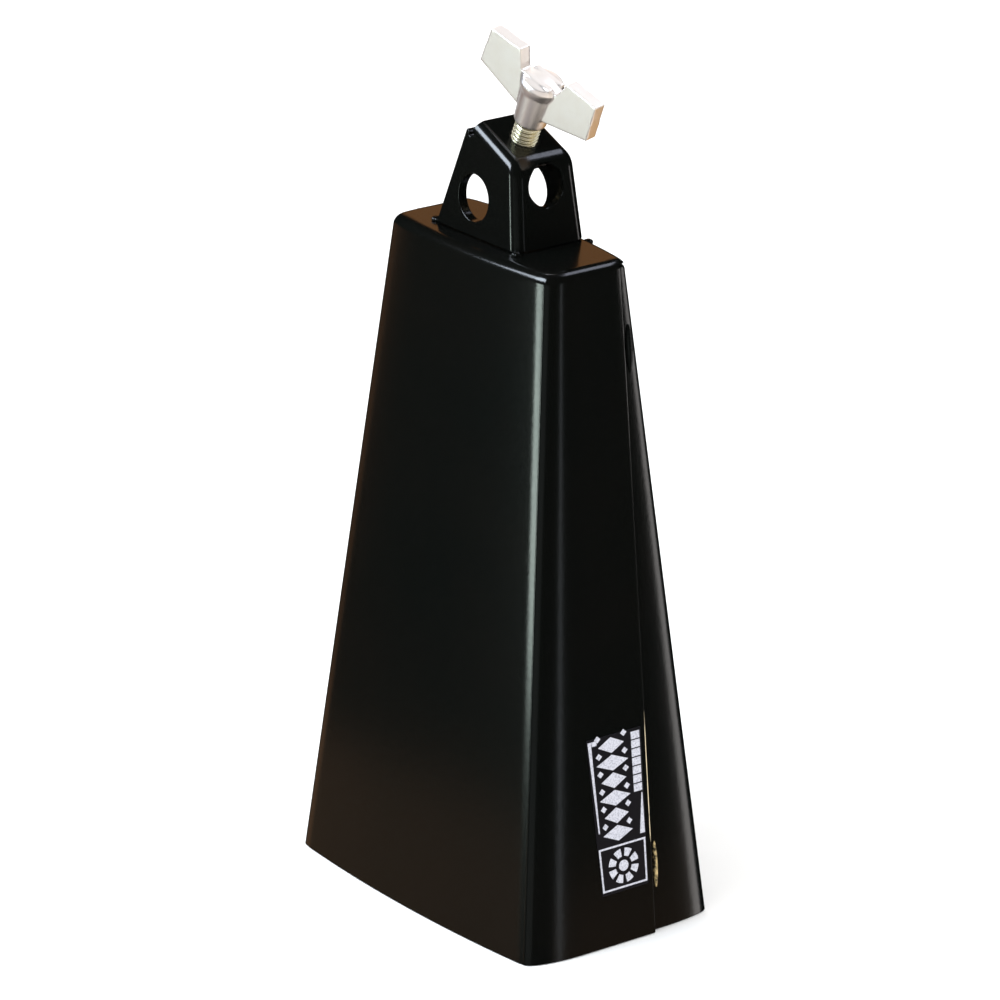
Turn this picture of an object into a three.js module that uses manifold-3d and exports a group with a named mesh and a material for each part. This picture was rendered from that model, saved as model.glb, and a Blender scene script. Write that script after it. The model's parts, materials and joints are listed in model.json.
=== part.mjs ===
// A hand-played cowbell with its rod bracket and wing screw.
// Millimetres, +Z up. The origin is the centre of the open mouth; -Y is the face that is struck.
import * as THREE from 'three';
import { mergeVertices } from 'three/addons/utils/BufferGeometryUtils.js';
import Module from 'manifold-3d';

// ---- bell body ----
const BELL_HEIGHT = 203;
const MOUTH_WIDTH = 119;
const MOUTH_DEPTH = 74.5;
const TOP_WIDTH = 76.6;
const TOP_DEPTH = 35.6;
const SHEET = 1.5;
const FACE_CROWN = 3.4;          // how far the struck face bulges at its middle
const MOUTH_CORNER = [5, 20];    // corner half-axes across and along the depth
const TOP_CORNER = [2.8, 7.2];
const TOP_BEND = 3;              // outer radius where the walls turn into the top
const SEAM_TO_REAR = 6.3;        // from the end of the front half's flanges to the top's rear edge
const FLANGE_UNDERLAP = 12;      // how far the back half's flanges reach under the front's
const FIT_GAP = 0.3;             // between pieces that touch

// ---- rod bracket ----
const BRACKET_SHEET = 3;
const BRACKET_REAR_MARGIN = 2;   // from the bracket's rear foot to the rear edge of the top
const BRACKET_FRONT_MARGIN = 7.8;
const BRACKET_TOE_X = -21.8;
const BRACKET_HEEL_X = 16.8;
const FLANK_LEAN = THREE.MathUtils.degToRad(3.8);
const TOE_LEAN = THREE.MathUtils.degToRad(20.7);
const BRACKET_BEND = 3.6;
const PLATE_TILT = THREE.MathUtils.degToRad(24.3);
const PLATE_TOE_REACH = 10.3;    // from the screw to the plate's cut end
const PLATE_HEEL_REACH = 10.6;   // from the screw to the corner over the heel flap
const PLATE_CENTRE_X = 3.3;
const PLATE_CENTRE_RISE = 29.8;
const CROSS_HOLE_RADIUS = 7;     // through both flanks
const CROSS_HOLE_DEPTH = 19.9;   // below the plate, measured along the screw
const HEEL_HOLE_RADIUS = 6.35;   // through the heel flap
const HEEL_HOLE_DROP = 7.54;     // from the corner over the heel flap to the hole's centre
const RELIEF_RADIUS = 1.1;       // notch at the open end of each plate bend
const COLLAR_WALL = 0.95;        // tapped collar drawn down from the plate
const COLLAR_DEPTH = 6;

// ---- wing screw ----
const THREAD_RADIUS = 4;
const THREAD_PITCH = 1.25;
const THREAD_CUT = 0.62;
const STUD_LENGTH = 19.5;        // from under the head to the tip
const STUD_CHAMFER = 1.2;
const HEAD_STANDOFF = 6;         // from the plate to the underside of the head
const NECK_RADIUS = 3.3;
const NECK_LENGTH = 8;
const BORE_CLEARANCE = 0.3;
const HUB_BOTTOM_RADIUS = 4.9;
const HUB_TOP_RADIUS = 6.6;
const HUB_HEIGHT = 14.9;
const HUB_CROWN = 1.3;
const HUB_RIM = 2;               // height of the wider band under the hub's top
const HUB_FLARE = 0.6;           // how much the hub widens from its foot to below the band
const HUB_EDGE = 0.5;
const WING_THICKNESS = 4.2;
const WING_SPAN = 42.6;
const WING_ROOT_RISE = 3.4;      // heights of the wing's corners above the foot of the head
const WING_TIP_LOW = 9.1;
const WING_TIP_HIGH = 20.5;
const WING_SHOULDER_HIGH = 20.9;
const WING_SHOULDER_REACH = 9.2; // from the screw's axis to the wing's inner top corner
const WING_EDGE = 0.5;
const WING_CORNER = 0.7;
const WING_TURN = THREE.MathUtils.degToRad(12.8);

// ---- weld beads and label ----
const STITCH_HALF = [1, 1.1, 7.5];   // out of the wall, along the depth, along the seam
const STITCH_HEIGHTS = { lower: 21, upper: BELL_HEIGHT - 25 };
const TACK_HALF = [1.5, 1.5, 1];
const TACK_BEND_DROP = 0.5;          // lower seat of the tack that reaches over the rear bend
const LABEL_THICKNESS = 0.2;
const LABEL_BOTTOM = 16;
const LABEL_HEIGHT = 48.6;
const LABEL_WIDTH = 17.2;
const LABEL_FLARE = 3;               // extra width at the top
const LABEL_TO_SEAM = 1.9;

// ---- surface steps ----
const ROUND_STEPS = 48;
const CROWN_STEPS = 6;
const CORNER_STEPS = 6;
const BEND_STEPS = 4;
const WALL_STEPS = 4;
const THREAD_SIDES = 20;
const THREAD_ROWS_PER_PITCH = 4;
const BEAD_STEPS = [14, 10];
const NOTCH_STEPS = 16;
const OVERCUT = 2;                   // how far a cutting shape runs past what it cuts
const SMALLEST_RADIUS = 0.4;

const seamY = TOP_DEPTH / 2 - SEAM_TO_REAR;

const wasm = await Module();
wasm.setup();

/** Turns a closed geometry into a solid that can be joined and cut. */
function solid(geometry) {
  const bare = geometry.index ? geometry.toNonIndexed() : geometry.clone();
  bare.deleteAttribute('normal');
  bare.deleteAttribute('uv');
  const merged = mergeVertices(bare, 1e-5);
  return new wasm.Manifold(new wasm.Mesh({
    numProp: 3,
    vertProperties: new Float32Array(merged.attributes.position.array),
    triVerts: new Uint32Array(merged.index.array),
  }));
}

/** Turns a solid back into a geometry. */
function geometryOf(body) {
  const mesh = body.getMesh();
  const positions = new Float32Array(mesh.vertProperties);
  const geometry = new THREE.BufferGeometry();
  geometry.setAttribute('position', new THREE.BufferAttribute(positions, 3));
  geometry.setIndex(new THREE.BufferAttribute(new Uint32Array(mesh.triVerts), 1));
  return geometry;
}

/** The average of some points. */
function middleOf(points) {
  const sum = new THREE.Vector3();
  points.forEach((point) => sum.add(point));
  return sum.divideScalar(points.length);
}

/** Skins rings of points, anticlockwise from above and listed upwards, into a closed geometry. */
function skin(rings) {
  const count = rings[0].length;
  const points = rings.flat();
  const index = [];
  for (let level = 0; level < rings.length - 1; level += 1) {
    for (let side = 0; side < count; side += 1) {
      const next = (side + 1) % count;
      const low = level * count;
      const high = low + count;
      index.push(low + side, low + next, high + next, low + side, high + next, high + side);
    }
  }
  const topStart = (rings.length - 1) * count;
  const bottomMiddle = points.push(middleOf(rings[0])) - 1;
  const topMiddle = points.push(middleOf(rings[rings.length - 1])) - 1;
  for (let side = 0; side < count; side += 1) {
    const next = (side + 1) % count;
    index.push(bottomMiddle, next, side, topMiddle, topStart + side, topStart + next);
  }
  const geometry = new THREE.BufferGeometry().setFromPoints(points);
  geometry.setIndex(index);
  return geometry;
}

/** A quarter-round edge as steps of how far in and how far down it has come. */
function bendSteps(radius) {
  return Array.from({ length: BEND_STEPS + 1 }, (_, step) => {
    const angle = (step / BEND_STEPS) * Math.PI / 2;
    return { inset: radius * (1 - Math.cos(angle)), drop: radius * (1 - Math.sin(angle)) };
  });
}

/** A material with the colour and surface of one finish. */
function finish(color, roughness, metalness) {
  return new THREE.MeshStandardMaterial({ color, roughness, metalness });
}

const blackCoat = () => finish(0x15130f, 0.28, 0.1);
const nickelPlate = () => finish(0xd8d4c8, 0.34, 1);
const zincPlate = () => finish(0xc9c5b4, 0.4, 1);
const labelFilm = () => finish(0xe8e6df, 0.35, 0);

function part(name, geometry, material) {
  const mesh = new THREE.Mesh(geometry, material);
  mesh.name = name;
  return mesh;
}

// ================= bell =================

const bellHalfWidth = (z) => THREE.MathUtils.lerp(MOUTH_WIDTH, TOP_WIDTH, z / BELL_HEIGHT) / 2;
const bellHalfDepth = (z) => THREE.MathUtils.lerp(MOUTH_DEPTH, TOP_DEPTH, z / BELL_HEIGHT) / 2;
const sideLean = Math.atan((MOUTH_WIDTH - TOP_WIDTH) / 2 / BELL_HEIGHT);

/** The bell's outline at one height, pulled in from the outside by the two insets. */
function bellRing(z, insetX, insetY) {
  const halfWidth = bellHalfWidth(z) - insetX;
  const halfDepth = bellHalfDepth(z) - insetY;
  const share = z / BELL_HEIGHT;
  const cornerOf = (axis) => THREE.MathUtils.lerp(MOUTH_CORNER[axis], TOP_CORNER[axis], share);
  const cornerX = Math.max(cornerOf(0) - insetX, SMALLEST_RADIUS);
  const cornerY = Math.max(cornerOf(1) - insetY, SMALLEST_RADIUS);
  const faceY = (x) => halfDepth - FACE_CROWN * (x / halfWidth) ** 2;
  const faceEnd = halfWidth - cornerX;
  const quarter = [];
  for (let step = 0; step <= CROWN_STEPS; step += 1) {
    const x = faceEnd * step / CROWN_STEPS;
    quarter.push([x, faceY(x)]);
  }
  for (let step = 1; step <= CORNER_STEPS; step += 1) {
    const angle = (step / CORNER_STEPS) * Math.PI / 2;
    quarter.push([faceEnd + cornerX * Math.sin(angle), faceY(faceEnd) - cornerY * (1 - Math.cos(angle))]);
  }
  const inner = quarter.slice(1);
  const outline = [
    ...quarter.map(([x, y]) => [x, -y]),
    ...quarter.slice().reverse(),
    ...inner.map(([x, y]) => [-x, y]),
    ...inner.slice().reverse().map(([x, y]) => [-x, -y]),
  ];
  return outline.map(([x, y]) => new THREE.Vector3(x, y, z));
}

/** A solid bell-shaped block with a rounded top edge. */
function bellBlock(bottomZ, topZ, insetX, insetY, bend) {
  const radius = Math.max(bend, SMALLEST_RADIUS);
  const shoulderZ = topZ - radius;
  const rings = [];
  for (let step = 0; step < WALL_STEPS; step += 1) {
    const z = THREE.MathUtils.lerp(bottomZ, shoulderZ, step / WALL_STEPS);
    rings.push(bellRing(z, insetX, insetY));
  }
  for (const { inset, drop } of bendSteps(radius)) {
    const z = topZ - drop;
    rings.push(bellRing(z, insetX + inset, insetY + inset));
  }
  return solid(skin(rings));
}

/** A box from its two corners. */
function block(low, high) {
  const size = high.map((value, axis) => value - low[axis]);
  const middle = high.map((value, axis) => (value + low[axis]) / 2);
  return new THREE.BoxGeometry(...size).translate(...middle);
}

/** Front half: the struck face, its side flanges and the whole top. */
function frontShell() {
  const outside = bellBlock(0, BELL_HEIGHT, 0, 0, TOP_BEND);
  const inside = bellBlock(-OVERCUT, BELL_HEIGHT - SHEET, SHEET, SHEET, TOP_BEND - SHEET);
  const behindSeam = solid(block(
    [-MOUTH_WIDTH, seamY, -OVERCUT],
    [MOUTH_WIDTH, MOUTH_DEPTH, BELL_HEIGHT - SHEET],
  ));
  return geometryOf(outside.subtract(inside).subtract(behindSeam));
}

/** Back half: its flanges and top flap tuck inside the front half. */
function backShell() {
  const sideInset = SHEET + FIT_GAP;
  const topZ = BELL_HEIGHT - SHEET - FIT_GAP;
  const outside = bellBlock(0, topZ, sideInset, 0, TOP_BEND - SHEET);
  const inside = bellBlock(-OVERCUT, topZ - SHEET, sideInset + SHEET, SHEET, TOP_BEND - 2 * SHEET);
  const beforeFlange = solid(block(
    [-MOUTH_WIDTH, -MOUTH_DEPTH, -OVERCUT],
    [MOUTH_WIDTH, seamY - FLANGE_UNDERLAP, BELL_HEIGHT + OVERCUT],
  ));
  return geometryOf(outside.subtract(inside).subtract(beforeFlange));
}

/** An egg-shaped bead of weld metal. */
function bead(halfSizes) {
  const sphere = new THREE.SphereGeometry(1, ...BEAD_STEPS);
  sphere.deleteAttribute('normal');
  sphere.deleteAttribute('uv');
  return mergeVertices(sphere, 1e-4).scale(...halfSizes);
}

/** A frame on one side wall: X out of the wall, Z up along it. side is 1 or -1. */
function sideFrame(side) {
  const frame = new THREE.Group();
  frame.position.set(side * bellHalfWidth(0), 0, 0);
  frame.rotation.y = -side * sideLean;
  return frame;
}

/** Short welds in the step between the two halves' flanges. */
function seamWelds() {
  const frames = [];
  for (const [sideName, side] of [['right', 1], ['left', -1]]) {
    const frame = sideFrame(side);
    const depthIn = (SHEET + FIT_GAP) * Math.cos(sideLean) - FIT_GAP - STITCH_HALF[0];
    for (const [heightName, height] of Object.entries(STITCH_HEIGHTS)) {
      const weld = part(`seam_weld_${sideName}_${heightName}`, bead(STITCH_HALF), blackCoat());
      weld.position.set(-side * depthIn, seamY + FIT_GAP + STITCH_HALF[1], height);
      frame.add(weld);
    }
    frames.push(frame);
  }
  return frames;
}

/** The printed label on the right wall, in front of the seam. */
function sideLabel() {
  const rearY = seamY - LABEL_TO_SEAM;
  const outline = new THREE.Shape();
  outline.moveTo(rearY, LABEL_BOTTOM);
  outline.lineTo(rearY, LABEL_BOTTOM + LABEL_HEIGHT);
  outline.lineTo(rearY - LABEL_WIDTH - LABEL_FLARE, LABEL_BOTTOM + LABEL_HEIGHT);
  outline.lineTo(rearY - LABEL_WIDTH, LABEL_BOTTOM);
  const film = new THREE.ExtrudeGeometry(outline, { depth: LABEL_THICKNESS, bevelEnabled: false });
  // The outline's X runs along the depth and its Y runs up the wall.
  const toWall = new THREE.Matrix4().makeBasis(
    new THREE.Vector3(0, 1, 0),
    new THREE.Vector3(0, 0, 1),
    new THREE.Vector3(1, 0, 0),
  );
  const frame = sideFrame(1);
  const label = part('side_label', geometryOf(solid(film.applyMatrix4(toWall))), labelFilm());
  label.position.x = FIT_GAP;
  frame.add(label);
  return frame;
}

// ================= bracket =================

const bracketHalfDepth = (TOP_DEPTH - BRACKET_REAR_MARGIN - BRACKET_FRONT_MARGIN) / 2;
const bracketY = (BRACKET_FRONT_MARGIN - BRACKET_REAR_MARGIN) / 2;
const plateNormal = new THREE.Vector3(Math.sin(PLATE_TILT), 0, Math.cos(PLATE_TILT));
const plateAlong = new THREE.Vector3(Math.cos(PLATE_TILT), 0, -Math.sin(PLATE_TILT));
const plateCentre = new THREE.Vector3(PLATE_CENTRE_X, bracketY, BELL_HEIGHT + PLATE_CENTRE_RISE);
const plateHeel = plateCentre.clone().addScaledVector(plateAlong, PLATE_HEEL_REACH);
const flankHalfDepth = (z) => bracketHalfDepth - Math.tan(FLANK_LEAN) * (z - BELL_HEIGHT);

/** The four upright edges of the bracket, run on past its open toe, as foot and head points. */
function bracketEdges(footZ) {
  const heelSlope = (plateHeel.x - BRACKET_HEEL_X) / (plateHeel.z - BELL_HEIGHT);
  const footX = [BRACKET_TOE_X - PLATE_TOE_REACH, BRACKET_HEEL_X + heelSlope * (footZ - BELL_HEIGHT)];
  const heads = [plateCentre.clone().addScaledVector(plateAlong, -2 * PLATE_TOE_REACH), plateHeel];
  const corners = [[0, -1], [1, -1], [1, 1], [0, 1]];
  return corners.map(([end, side]) => ({
    along: end === 0 ? 1 : -1,
    across: -side,
    foot: new THREE.Vector3(footX[end], bracketY + side * flankHalfDepth(footZ), footZ),
    head: heads[end].clone().setY(bracketY + side * flankHalfDepth(heads[end].z)),
  }));
}

/** Four corner points with each corner rounded. */
function roundedQuad(corners, radius) {
  return corners.flatMap((corner, at) => {
    const before = corners[(at + 3) % 4].clone().sub(corner).normalize();
    const after = corners[(at + 1) % 4].clone().sub(corner).normalize();
    return Array.from({ length: CORNER_STEPS + 1 }, (_, step) => {
      const angle = (step / CORNER_STEPS) * Math.PI / 2;
      return corner.clone()
        .addScaledVector(before, radius * (1 - Math.sin(angle)))
        .addScaledVector(after, radius * (1 - Math.cos(angle)));
    });
  });
}

/** The bracket's block, pulled in all round by one wall thickness or none. */
function bracketBlock(footZ, wall) {
  const edges = bracketEdges(footZ);
  const radius = Math.max(BRACKET_BEND - wall, SMALLEST_RADIUS);
  const pulledIn = (edge, point, inset) => point.clone()
    .addScaledVector(plateAlong, edge.along * inset)
    .add(new THREE.Vector3(0, edge.across * inset, 0));
  const feet = edges.map((edge) => edge.foot.clone()
    .add(new THREE.Vector3(edge.along * wall, edge.across * wall, 0)));
  const rings = [roundedQuad(feet, radius)];
  for (const { inset, drop } of bendSteps(radius)) {
    const level = plateNormal.dot(plateCentre) - wall - drop;
    const corners = edges.map((edge) => {
      const rise = edge.head.clone().sub(edge.foot);
      const share = (level - plateNormal.dot(edge.foot)) / plateNormal.dot(rise);
      return pulledIn(edge, edge.foot.clone().addScaledVector(rise, share), wall + inset);
    });
    rings.push(roundedQuad(corners, Math.max(radius - inset, SMALLEST_RADIUS)));
  }
  return solid(skin(rings));
}

/** A round bar along the screw's axis, between two heights above the plate. */
function axisBar(radius, low, high) {
  const bar = new THREE.CylinderGeometry(radius, radius, high - low, ROUND_STEPS);
  bar.rotateX(Math.PI / 2).translate(0, 0, (low + high) / 2).rotateY(PLATE_TILT);
  return solid(bar.translate(plateCentre.x, plateCentre.y, plateCentre.z));
}

/** What is cut away at the open toe: past the flanks' edges, past the plate's end, and the notches. */
function toeCut() {
  const width = 4 * bracketHalfDepth;
  const length = BRACKET_HEEL_X - BRACKET_TOE_X;
  const pastFlanks = new THREE.BoxGeometry(length, width, 4 * PLATE_CENTRE_RISE)
    .translate(-length / 2, 0, 0)
    .rotateY(TOE_LEAN)
    .translate(BRACKET_TOE_X, bracketY, BELL_HEIGHT);
  const notchDepth = BRACKET_BEND + RELIEF_RADIUS / 2;
  const pastPlate = new THREE.BoxGeometry(length, width, 2 * notchDepth)
    .translate(-length / 2 - PLATE_TOE_REACH, 0, 0)
    .rotateY(PLATE_TILT)
    .translate(plateCentre.x, bracketY, plateCentre.z);
  const notch = new THREE.CylinderGeometry(RELIEF_RADIUS, RELIEF_RADIUS, width, NOTCH_STEPS)
    .translate(-PLATE_TOE_REACH, 0, -notchDepth)
    .rotateY(PLATE_TILT)
    .translate(plateCentre.x, bracketY, plateCentre.z);
  return solid(pastFlanks).add(solid(pastPlate)).add(solid(notch));
}

/** Rod holes: one bar's path across both flanks and one through the heel flap. */
function rodHoles() {
  const crossHole = plateCentre.clone().addScaledVector(plateNormal, -CROSS_HOLE_DEPTH);
  const width = 4 * bracketHalfDepth;
  const across = new THREE.CylinderGeometry(CROSS_HOLE_RADIUS, CROSS_HOLE_RADIUS, width, ROUND_STEPS)
    .translate(crossHole.x, bracketY, crossHole.z);
  const length = 4 * BRACKET_SHEET;
  const along = new THREE.CylinderGeometry(HEEL_HOLE_RADIUS, HEEL_HOLE_RADIUS, length, ROUND_STEPS)
    .rotateZ(Math.PI / 2)
    .translate(BRACKET_HEEL_X - BRACKET_SHEET + length / 4, bracketY, plateHeel.z - HEEL_HOLE_DROP);
  return solid(across).add(solid(along));
}

/** Bent sheet bracket, open at its toe, with a tapped collar under its tilted plate. */
function bracket() {
  const bore = THREAD_RADIUS + BORE_CLEARANCE;
  const shell = bracketBlock(BELL_HEIGHT + FIT_GAP, 0)
    .subtract(bracketBlock(BELL_HEIGHT - OVERCUT, BRACKET_SHEET))
    .subtract(toeCut())
    .add(axisBar(bore + COLLAR_WALL, -COLLAR_DEPTH, -BRACKET_SHEET / 2));
  return geometryOf(shell
    .subtract(rodHoles())
    .subtract(axisBar(bore, -COLLAR_DEPTH - OVERCUT, OVERCUT)));
}

/** Tack welds at the ends of the bracket's foot. */
function bracketWelds() {
  const beyond = FIT_GAP + TACK_HALF[0];
  const cornerIn = BRACKET_BEND * (1 - Math.SQRT1_2) - beyond * Math.SQRT1_2;
  const toe = [BRACKET_TOE_X - beyond, bracketHalfDepth - BRACKET_SHEET / 2];
  const corner = [BRACKET_HEEL_X - cornerIn, bracketHalfDepth - cornerIn];
  const seats = {
    front_toe: [toe, -1, 0],
    front_heel: [corner, -1, 0],
    rear_toe: [toe, 1, 0],
    rear_heel: [corner, 1, TACK_BEND_DROP],
  };
  return Object.entries(seats).map(([name, [[x, y], side, drop]]) => {
    const weld = part(`bracket_weld_${name}`, bead(TACK_HALF), blackCoat());
    weld.position.set(x, bracketY + side * y, BELL_HEIGHT + FIT_GAP + TACK_HALF[2] - drop);
    return weld;
  });
}

// ================= wing screw =================
// Its own frame: Z along the screw, up from the plate's outer face; X along the wings.

/** One turn of points whose radius follows the thread's helix. */
function threadRing(z, cutShare) {
  return Array.from({ length: THREAD_SIDES }, (_, side) => {
    const turn = side / THREAD_SIDES;
    const phase = ((z / THREAD_PITCH - turn) % 1 + 1) % 1;
    const depth = THREAD_CUT * cutShare * (0.5 - 0.5 * Math.cos(2 * Math.PI * phase));
    return ringPoint(THREAD_RADIUS - depth, turn, z);
  });
}

function ringPoint(radius, turn, z) {
  const angle = turn * 2 * Math.PI;
  return new THREE.Vector3(radius * Math.cos(angle), radius * Math.sin(angle), z);
}

/** A plain ring of points at one radius. */
function plainRing(radius, z) {
  return Array.from({ length: THREAD_SIDES }, (_, side) => ringPoint(radius, side / THREAD_SIDES, z));
}

/** The steel stud: threaded below the head, with a plain neck set into the head. */
function clampStud() {
  const tipZ = HEAD_STANDOFF - STUD_LENGTH;
  const threadStart = tipZ + STUD_CHAMFER;
  const threadEnd = HEAD_STANDOFF - FIT_GAP;
  const rows = Math.round((threadEnd - threadStart) / THREAD_PITCH * THREAD_ROWS_PER_PITCH);
  const rings = [plainRing(THREAD_RADIUS - STUD_CHAMFER, tipZ)];
  for (let row = 0; row <= rows; row += 1) {
    const z = THREE.MathUtils.lerp(threadStart, threadEnd, row / rows);
    const fade = Math.min(row, rows - row) / THREAD_ROWS_PER_PITCH;
    rings.push(threadRing(z, Math.min(fade, 1)));
  }
  rings.push(plainRing(NECK_RADIUS, threadEnd));
  rings.push(plainRing(NECK_RADIUS, HEAD_STANDOFF + NECK_LENGTH));
  return skin(rings);
}

/** The hub's outline, turned about the screw's axis. */
function hub() {
  const base = HEAD_STANDOFF;
  const top = base + HUB_HEIGHT;
  const crownHeight = (share) => top + HUB_CROWN * (1 - share ** 2);
  const profile = [
    [0, base],
    [HUB_BOTTOM_RADIUS - HUB_EDGE, base],
    [HUB_BOTTOM_RADIUS, base + HUB_EDGE],
    [HUB_BOTTOM_RADIUS + HUB_FLARE, top - 2 * HUB_RIM],
    [HUB_TOP_RADIUS - HUB_EDGE / 2, top - HUB_RIM],
    [HUB_TOP_RADIUS, top - HUB_RIM / 2],
    [HUB_TOP_RADIUS - HUB_EDGE, top],
    [HUB_TOP_RADIUS * 0.6, crownHeight(0.6)],
    [HUB_TOP_RADIUS * 0.3, crownHeight(0.3)],
    [0, top + HUB_CROWN],
  ].map(([radius, height]) => new THREE.Vector2(radius, height));
  return solid(new THREE.LatheGeometry(profile, ROUND_STEPS).rotateX(Math.PI / 2));
}

/** A closed outline through the points, with every corner rounded. */
function roundedOutline(points, radius) {
  const outline = new THREE.Shape();
  points.forEach((point, at) => {
    const before = points[(at + points.length - 1) % points.length];
    const after = points[(at + 1) % points.length];
    const start = point.clone().add(before.clone().sub(point).setLength(radius));
    const end = point.clone().add(after.clone().sub(point).setLength(radius));
    if (at === 0) {
      outline.moveTo(start.x, start.y);
    } else {
      outline.lineTo(start.x, start.y);
    }
    outline.quadraticCurveTo(point.x, point.y, end.x, end.y);
  });
  outline.closePath();
  return outline;
}

/** One paddle, from inside the hub out to its tip. */
function wing() {
  const tip = WING_SPAN / 2 - WING_EDGE;
  const root = HUB_BOTTOM_RADIUS / 2;
  const side = [
    [root, WING_ROOT_RISE],
    [tip, WING_TIP_LOW],
    [tip - WING_EDGE, WING_TIP_HIGH - WING_EDGE],
    [WING_SHOULDER_REACH + WING_EDGE, WING_SHOULDER_HIGH - WING_EDGE],
    [HUB_TOP_RADIUS + WING_CORNER, HUB_HEIGHT],
    [root, HUB_HEIGHT - HUB_RIM / 2],
  ].map(([reach, height]) => new THREE.Vector2(reach, HEAD_STANDOFF + height));
  const paddle = new THREE.ExtrudeGeometry(roundedOutline(side, WING_CORNER), {
    depth: WING_THICKNESS - 2 * WING_EDGE,
    bevelThickness: WING_EDGE,
    bevelSize: WING_EDGE,
    bevelSegments: 2,
    curveSegments: 4,
  });
  return paddle.translate(0, 0, WING_EDGE - WING_THICKNESS / 2).rotateX(Math.PI / 2);
}

/** The cast head: hub and two wings, bored for the stud's neck. */
function wingHead() {
  const boreTop = HEAD_STANDOFF + NECK_LENGTH + FIT_GAP;
  const bore = new THREE.CylinderGeometry(
    NECK_RADIUS + BORE_CLEARANCE,
    NECK_RADIUS + BORE_CLEARANCE,
    boreTop - HEAD_STANDOFF + OVERCUT,
    ROUND_STEPS,
  ).rotateX(Math.PI / 2).translate(0, 0, (boreTop + HEAD_STANDOFF - OVERCUT) / 2);
  return geometryOf(hub()
    .add(solid(wing()))
    .add(solid(wing().rotateZ(Math.PI)))
    .subtract(solid(bore)));
}

/** Stud and head in the frame of the tilted plate. */
function wingScrew() {
  const onPlate = new THREE.Group();
  onPlate.position.copy(plateCentre);
  onPlate.rotation.y = PLATE_TILT;
  const turned = new THREE.Group();
  turned.rotation.z = WING_TURN;
  turned.add(part('clamp_stud', clampStud(), zincPlate()));
  turned.add(part('wing_head', wingHead(), nickelPlate()));
  onPlate.add(turned);
  return onPlate;
}

// ================= assembly =================

const cowbell = new THREE.Group();
cowbell.add(part('front_shell', frontShell(), blackCoat()));
cowbell.add(part('back_shell', backShell(), blackCoat()));
cowbell.add(...seamWelds());
cowbell.add(sideLabel());
cowbell.add(part('rod_bracket', bracket(), blackCoat()));
cowbell.add(...bracketWelds());
cowbell.add(wingScrew());

export default cowbell;
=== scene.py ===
"""Looks of a hand-played cowbell with its rod bracket and wing screw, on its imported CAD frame.

Metres, +Z up. The origin is the centre of the open mouth, and -Y is the face that is struck.
"""

import json
import logging
import math
from collections.abc import Iterable, Sequence
from dataclasses import dataclass, field
from enum import Enum

import bmesh
import bpy
import numpy as np
from mathutils import Matrix, Vector


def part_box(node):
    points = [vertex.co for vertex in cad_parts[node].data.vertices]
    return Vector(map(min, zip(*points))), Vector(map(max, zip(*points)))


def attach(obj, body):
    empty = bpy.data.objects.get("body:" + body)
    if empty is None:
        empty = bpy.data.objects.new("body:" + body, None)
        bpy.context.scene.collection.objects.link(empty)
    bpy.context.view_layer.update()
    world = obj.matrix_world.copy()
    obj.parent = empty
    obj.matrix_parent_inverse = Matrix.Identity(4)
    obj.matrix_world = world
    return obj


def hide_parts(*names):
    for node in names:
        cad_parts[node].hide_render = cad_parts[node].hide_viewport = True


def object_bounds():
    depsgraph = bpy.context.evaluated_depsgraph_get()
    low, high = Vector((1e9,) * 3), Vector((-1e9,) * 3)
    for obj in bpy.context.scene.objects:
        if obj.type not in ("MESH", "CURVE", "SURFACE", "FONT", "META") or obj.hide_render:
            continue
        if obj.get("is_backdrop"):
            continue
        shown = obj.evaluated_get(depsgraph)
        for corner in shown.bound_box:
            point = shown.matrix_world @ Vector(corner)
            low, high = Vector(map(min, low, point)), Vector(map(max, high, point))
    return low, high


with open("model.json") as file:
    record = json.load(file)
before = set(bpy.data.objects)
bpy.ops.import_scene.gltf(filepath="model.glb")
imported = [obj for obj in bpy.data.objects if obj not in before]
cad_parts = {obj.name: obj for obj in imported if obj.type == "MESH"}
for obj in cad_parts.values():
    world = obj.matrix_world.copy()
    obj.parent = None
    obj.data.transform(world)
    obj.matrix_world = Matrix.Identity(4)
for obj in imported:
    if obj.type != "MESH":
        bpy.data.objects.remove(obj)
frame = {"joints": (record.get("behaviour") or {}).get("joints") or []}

MM = 0.001
SEAM_Y = 11.5 * MM                     # where the front half's side flanges end
LOG = logging.getLogger("cowbell")

Points = np.ndarray
Ring = list[int]
Outline = list[tuple[float, float]]


class Body(str, Enum):
    """The CAD bodies that pieces ride on."""

    BELL = "bell"
    STUD = "clamp_stud_body"
    HEAD = "wing_head_body"


class Slot(str, Enum):
    """The record's material slots."""

    COAT = "black_coat"
    PRINT = "label_print"
    STUD = "stud_plate"
    HEAD = "head_plate"


# ---------------------------------------------------------------- material tools


def linear(colour: str) -> tuple[float, float, float, float]:
    """Turns an sRGB hex colour into linear light.

    Args:
        colour: Six hex digits, with or without a leading #.

    Returns:
        Red, green, blue and an alpha of one.
    """
    digits = colour.lstrip("#")
    shares = [int(digits[i : i + 2], 16) / 255 for i in (0, 2, 4)]
    light = [s / 12.92 if s <= 0.04045 else ((s + 0.055) / 1.055) ** 2.4 for s in shares]
    return (light[0], light[1], light[2], 1.0)


def add_node(
    tree: bpy.types.NodeTree,
    kind: str,
    inputs: dict[str | int, object] | None = None,
    **settings: object,
) -> bpy.types.Node:
    """Adds a node with its settings, values and links.

    Args:
        tree: The node tree that gets it.
        kind: Blender's name for the kind of node.
        inputs: A value, or an output to join, for each named or numbered input.
        **settings: The node's own properties.

    Returns:
        The new node.
    """
    node = tree.nodes.new(kind)
    for name, value in settings.items():
        setattr(node, name, value)
    for key, value in (inputs or {}).items():
        if isinstance(value, bpy.types.NodeSocket):
            tree.links.new(value, node.inputs[key])
        else:
            node.inputs[key].default_value = value
    return node


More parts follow.
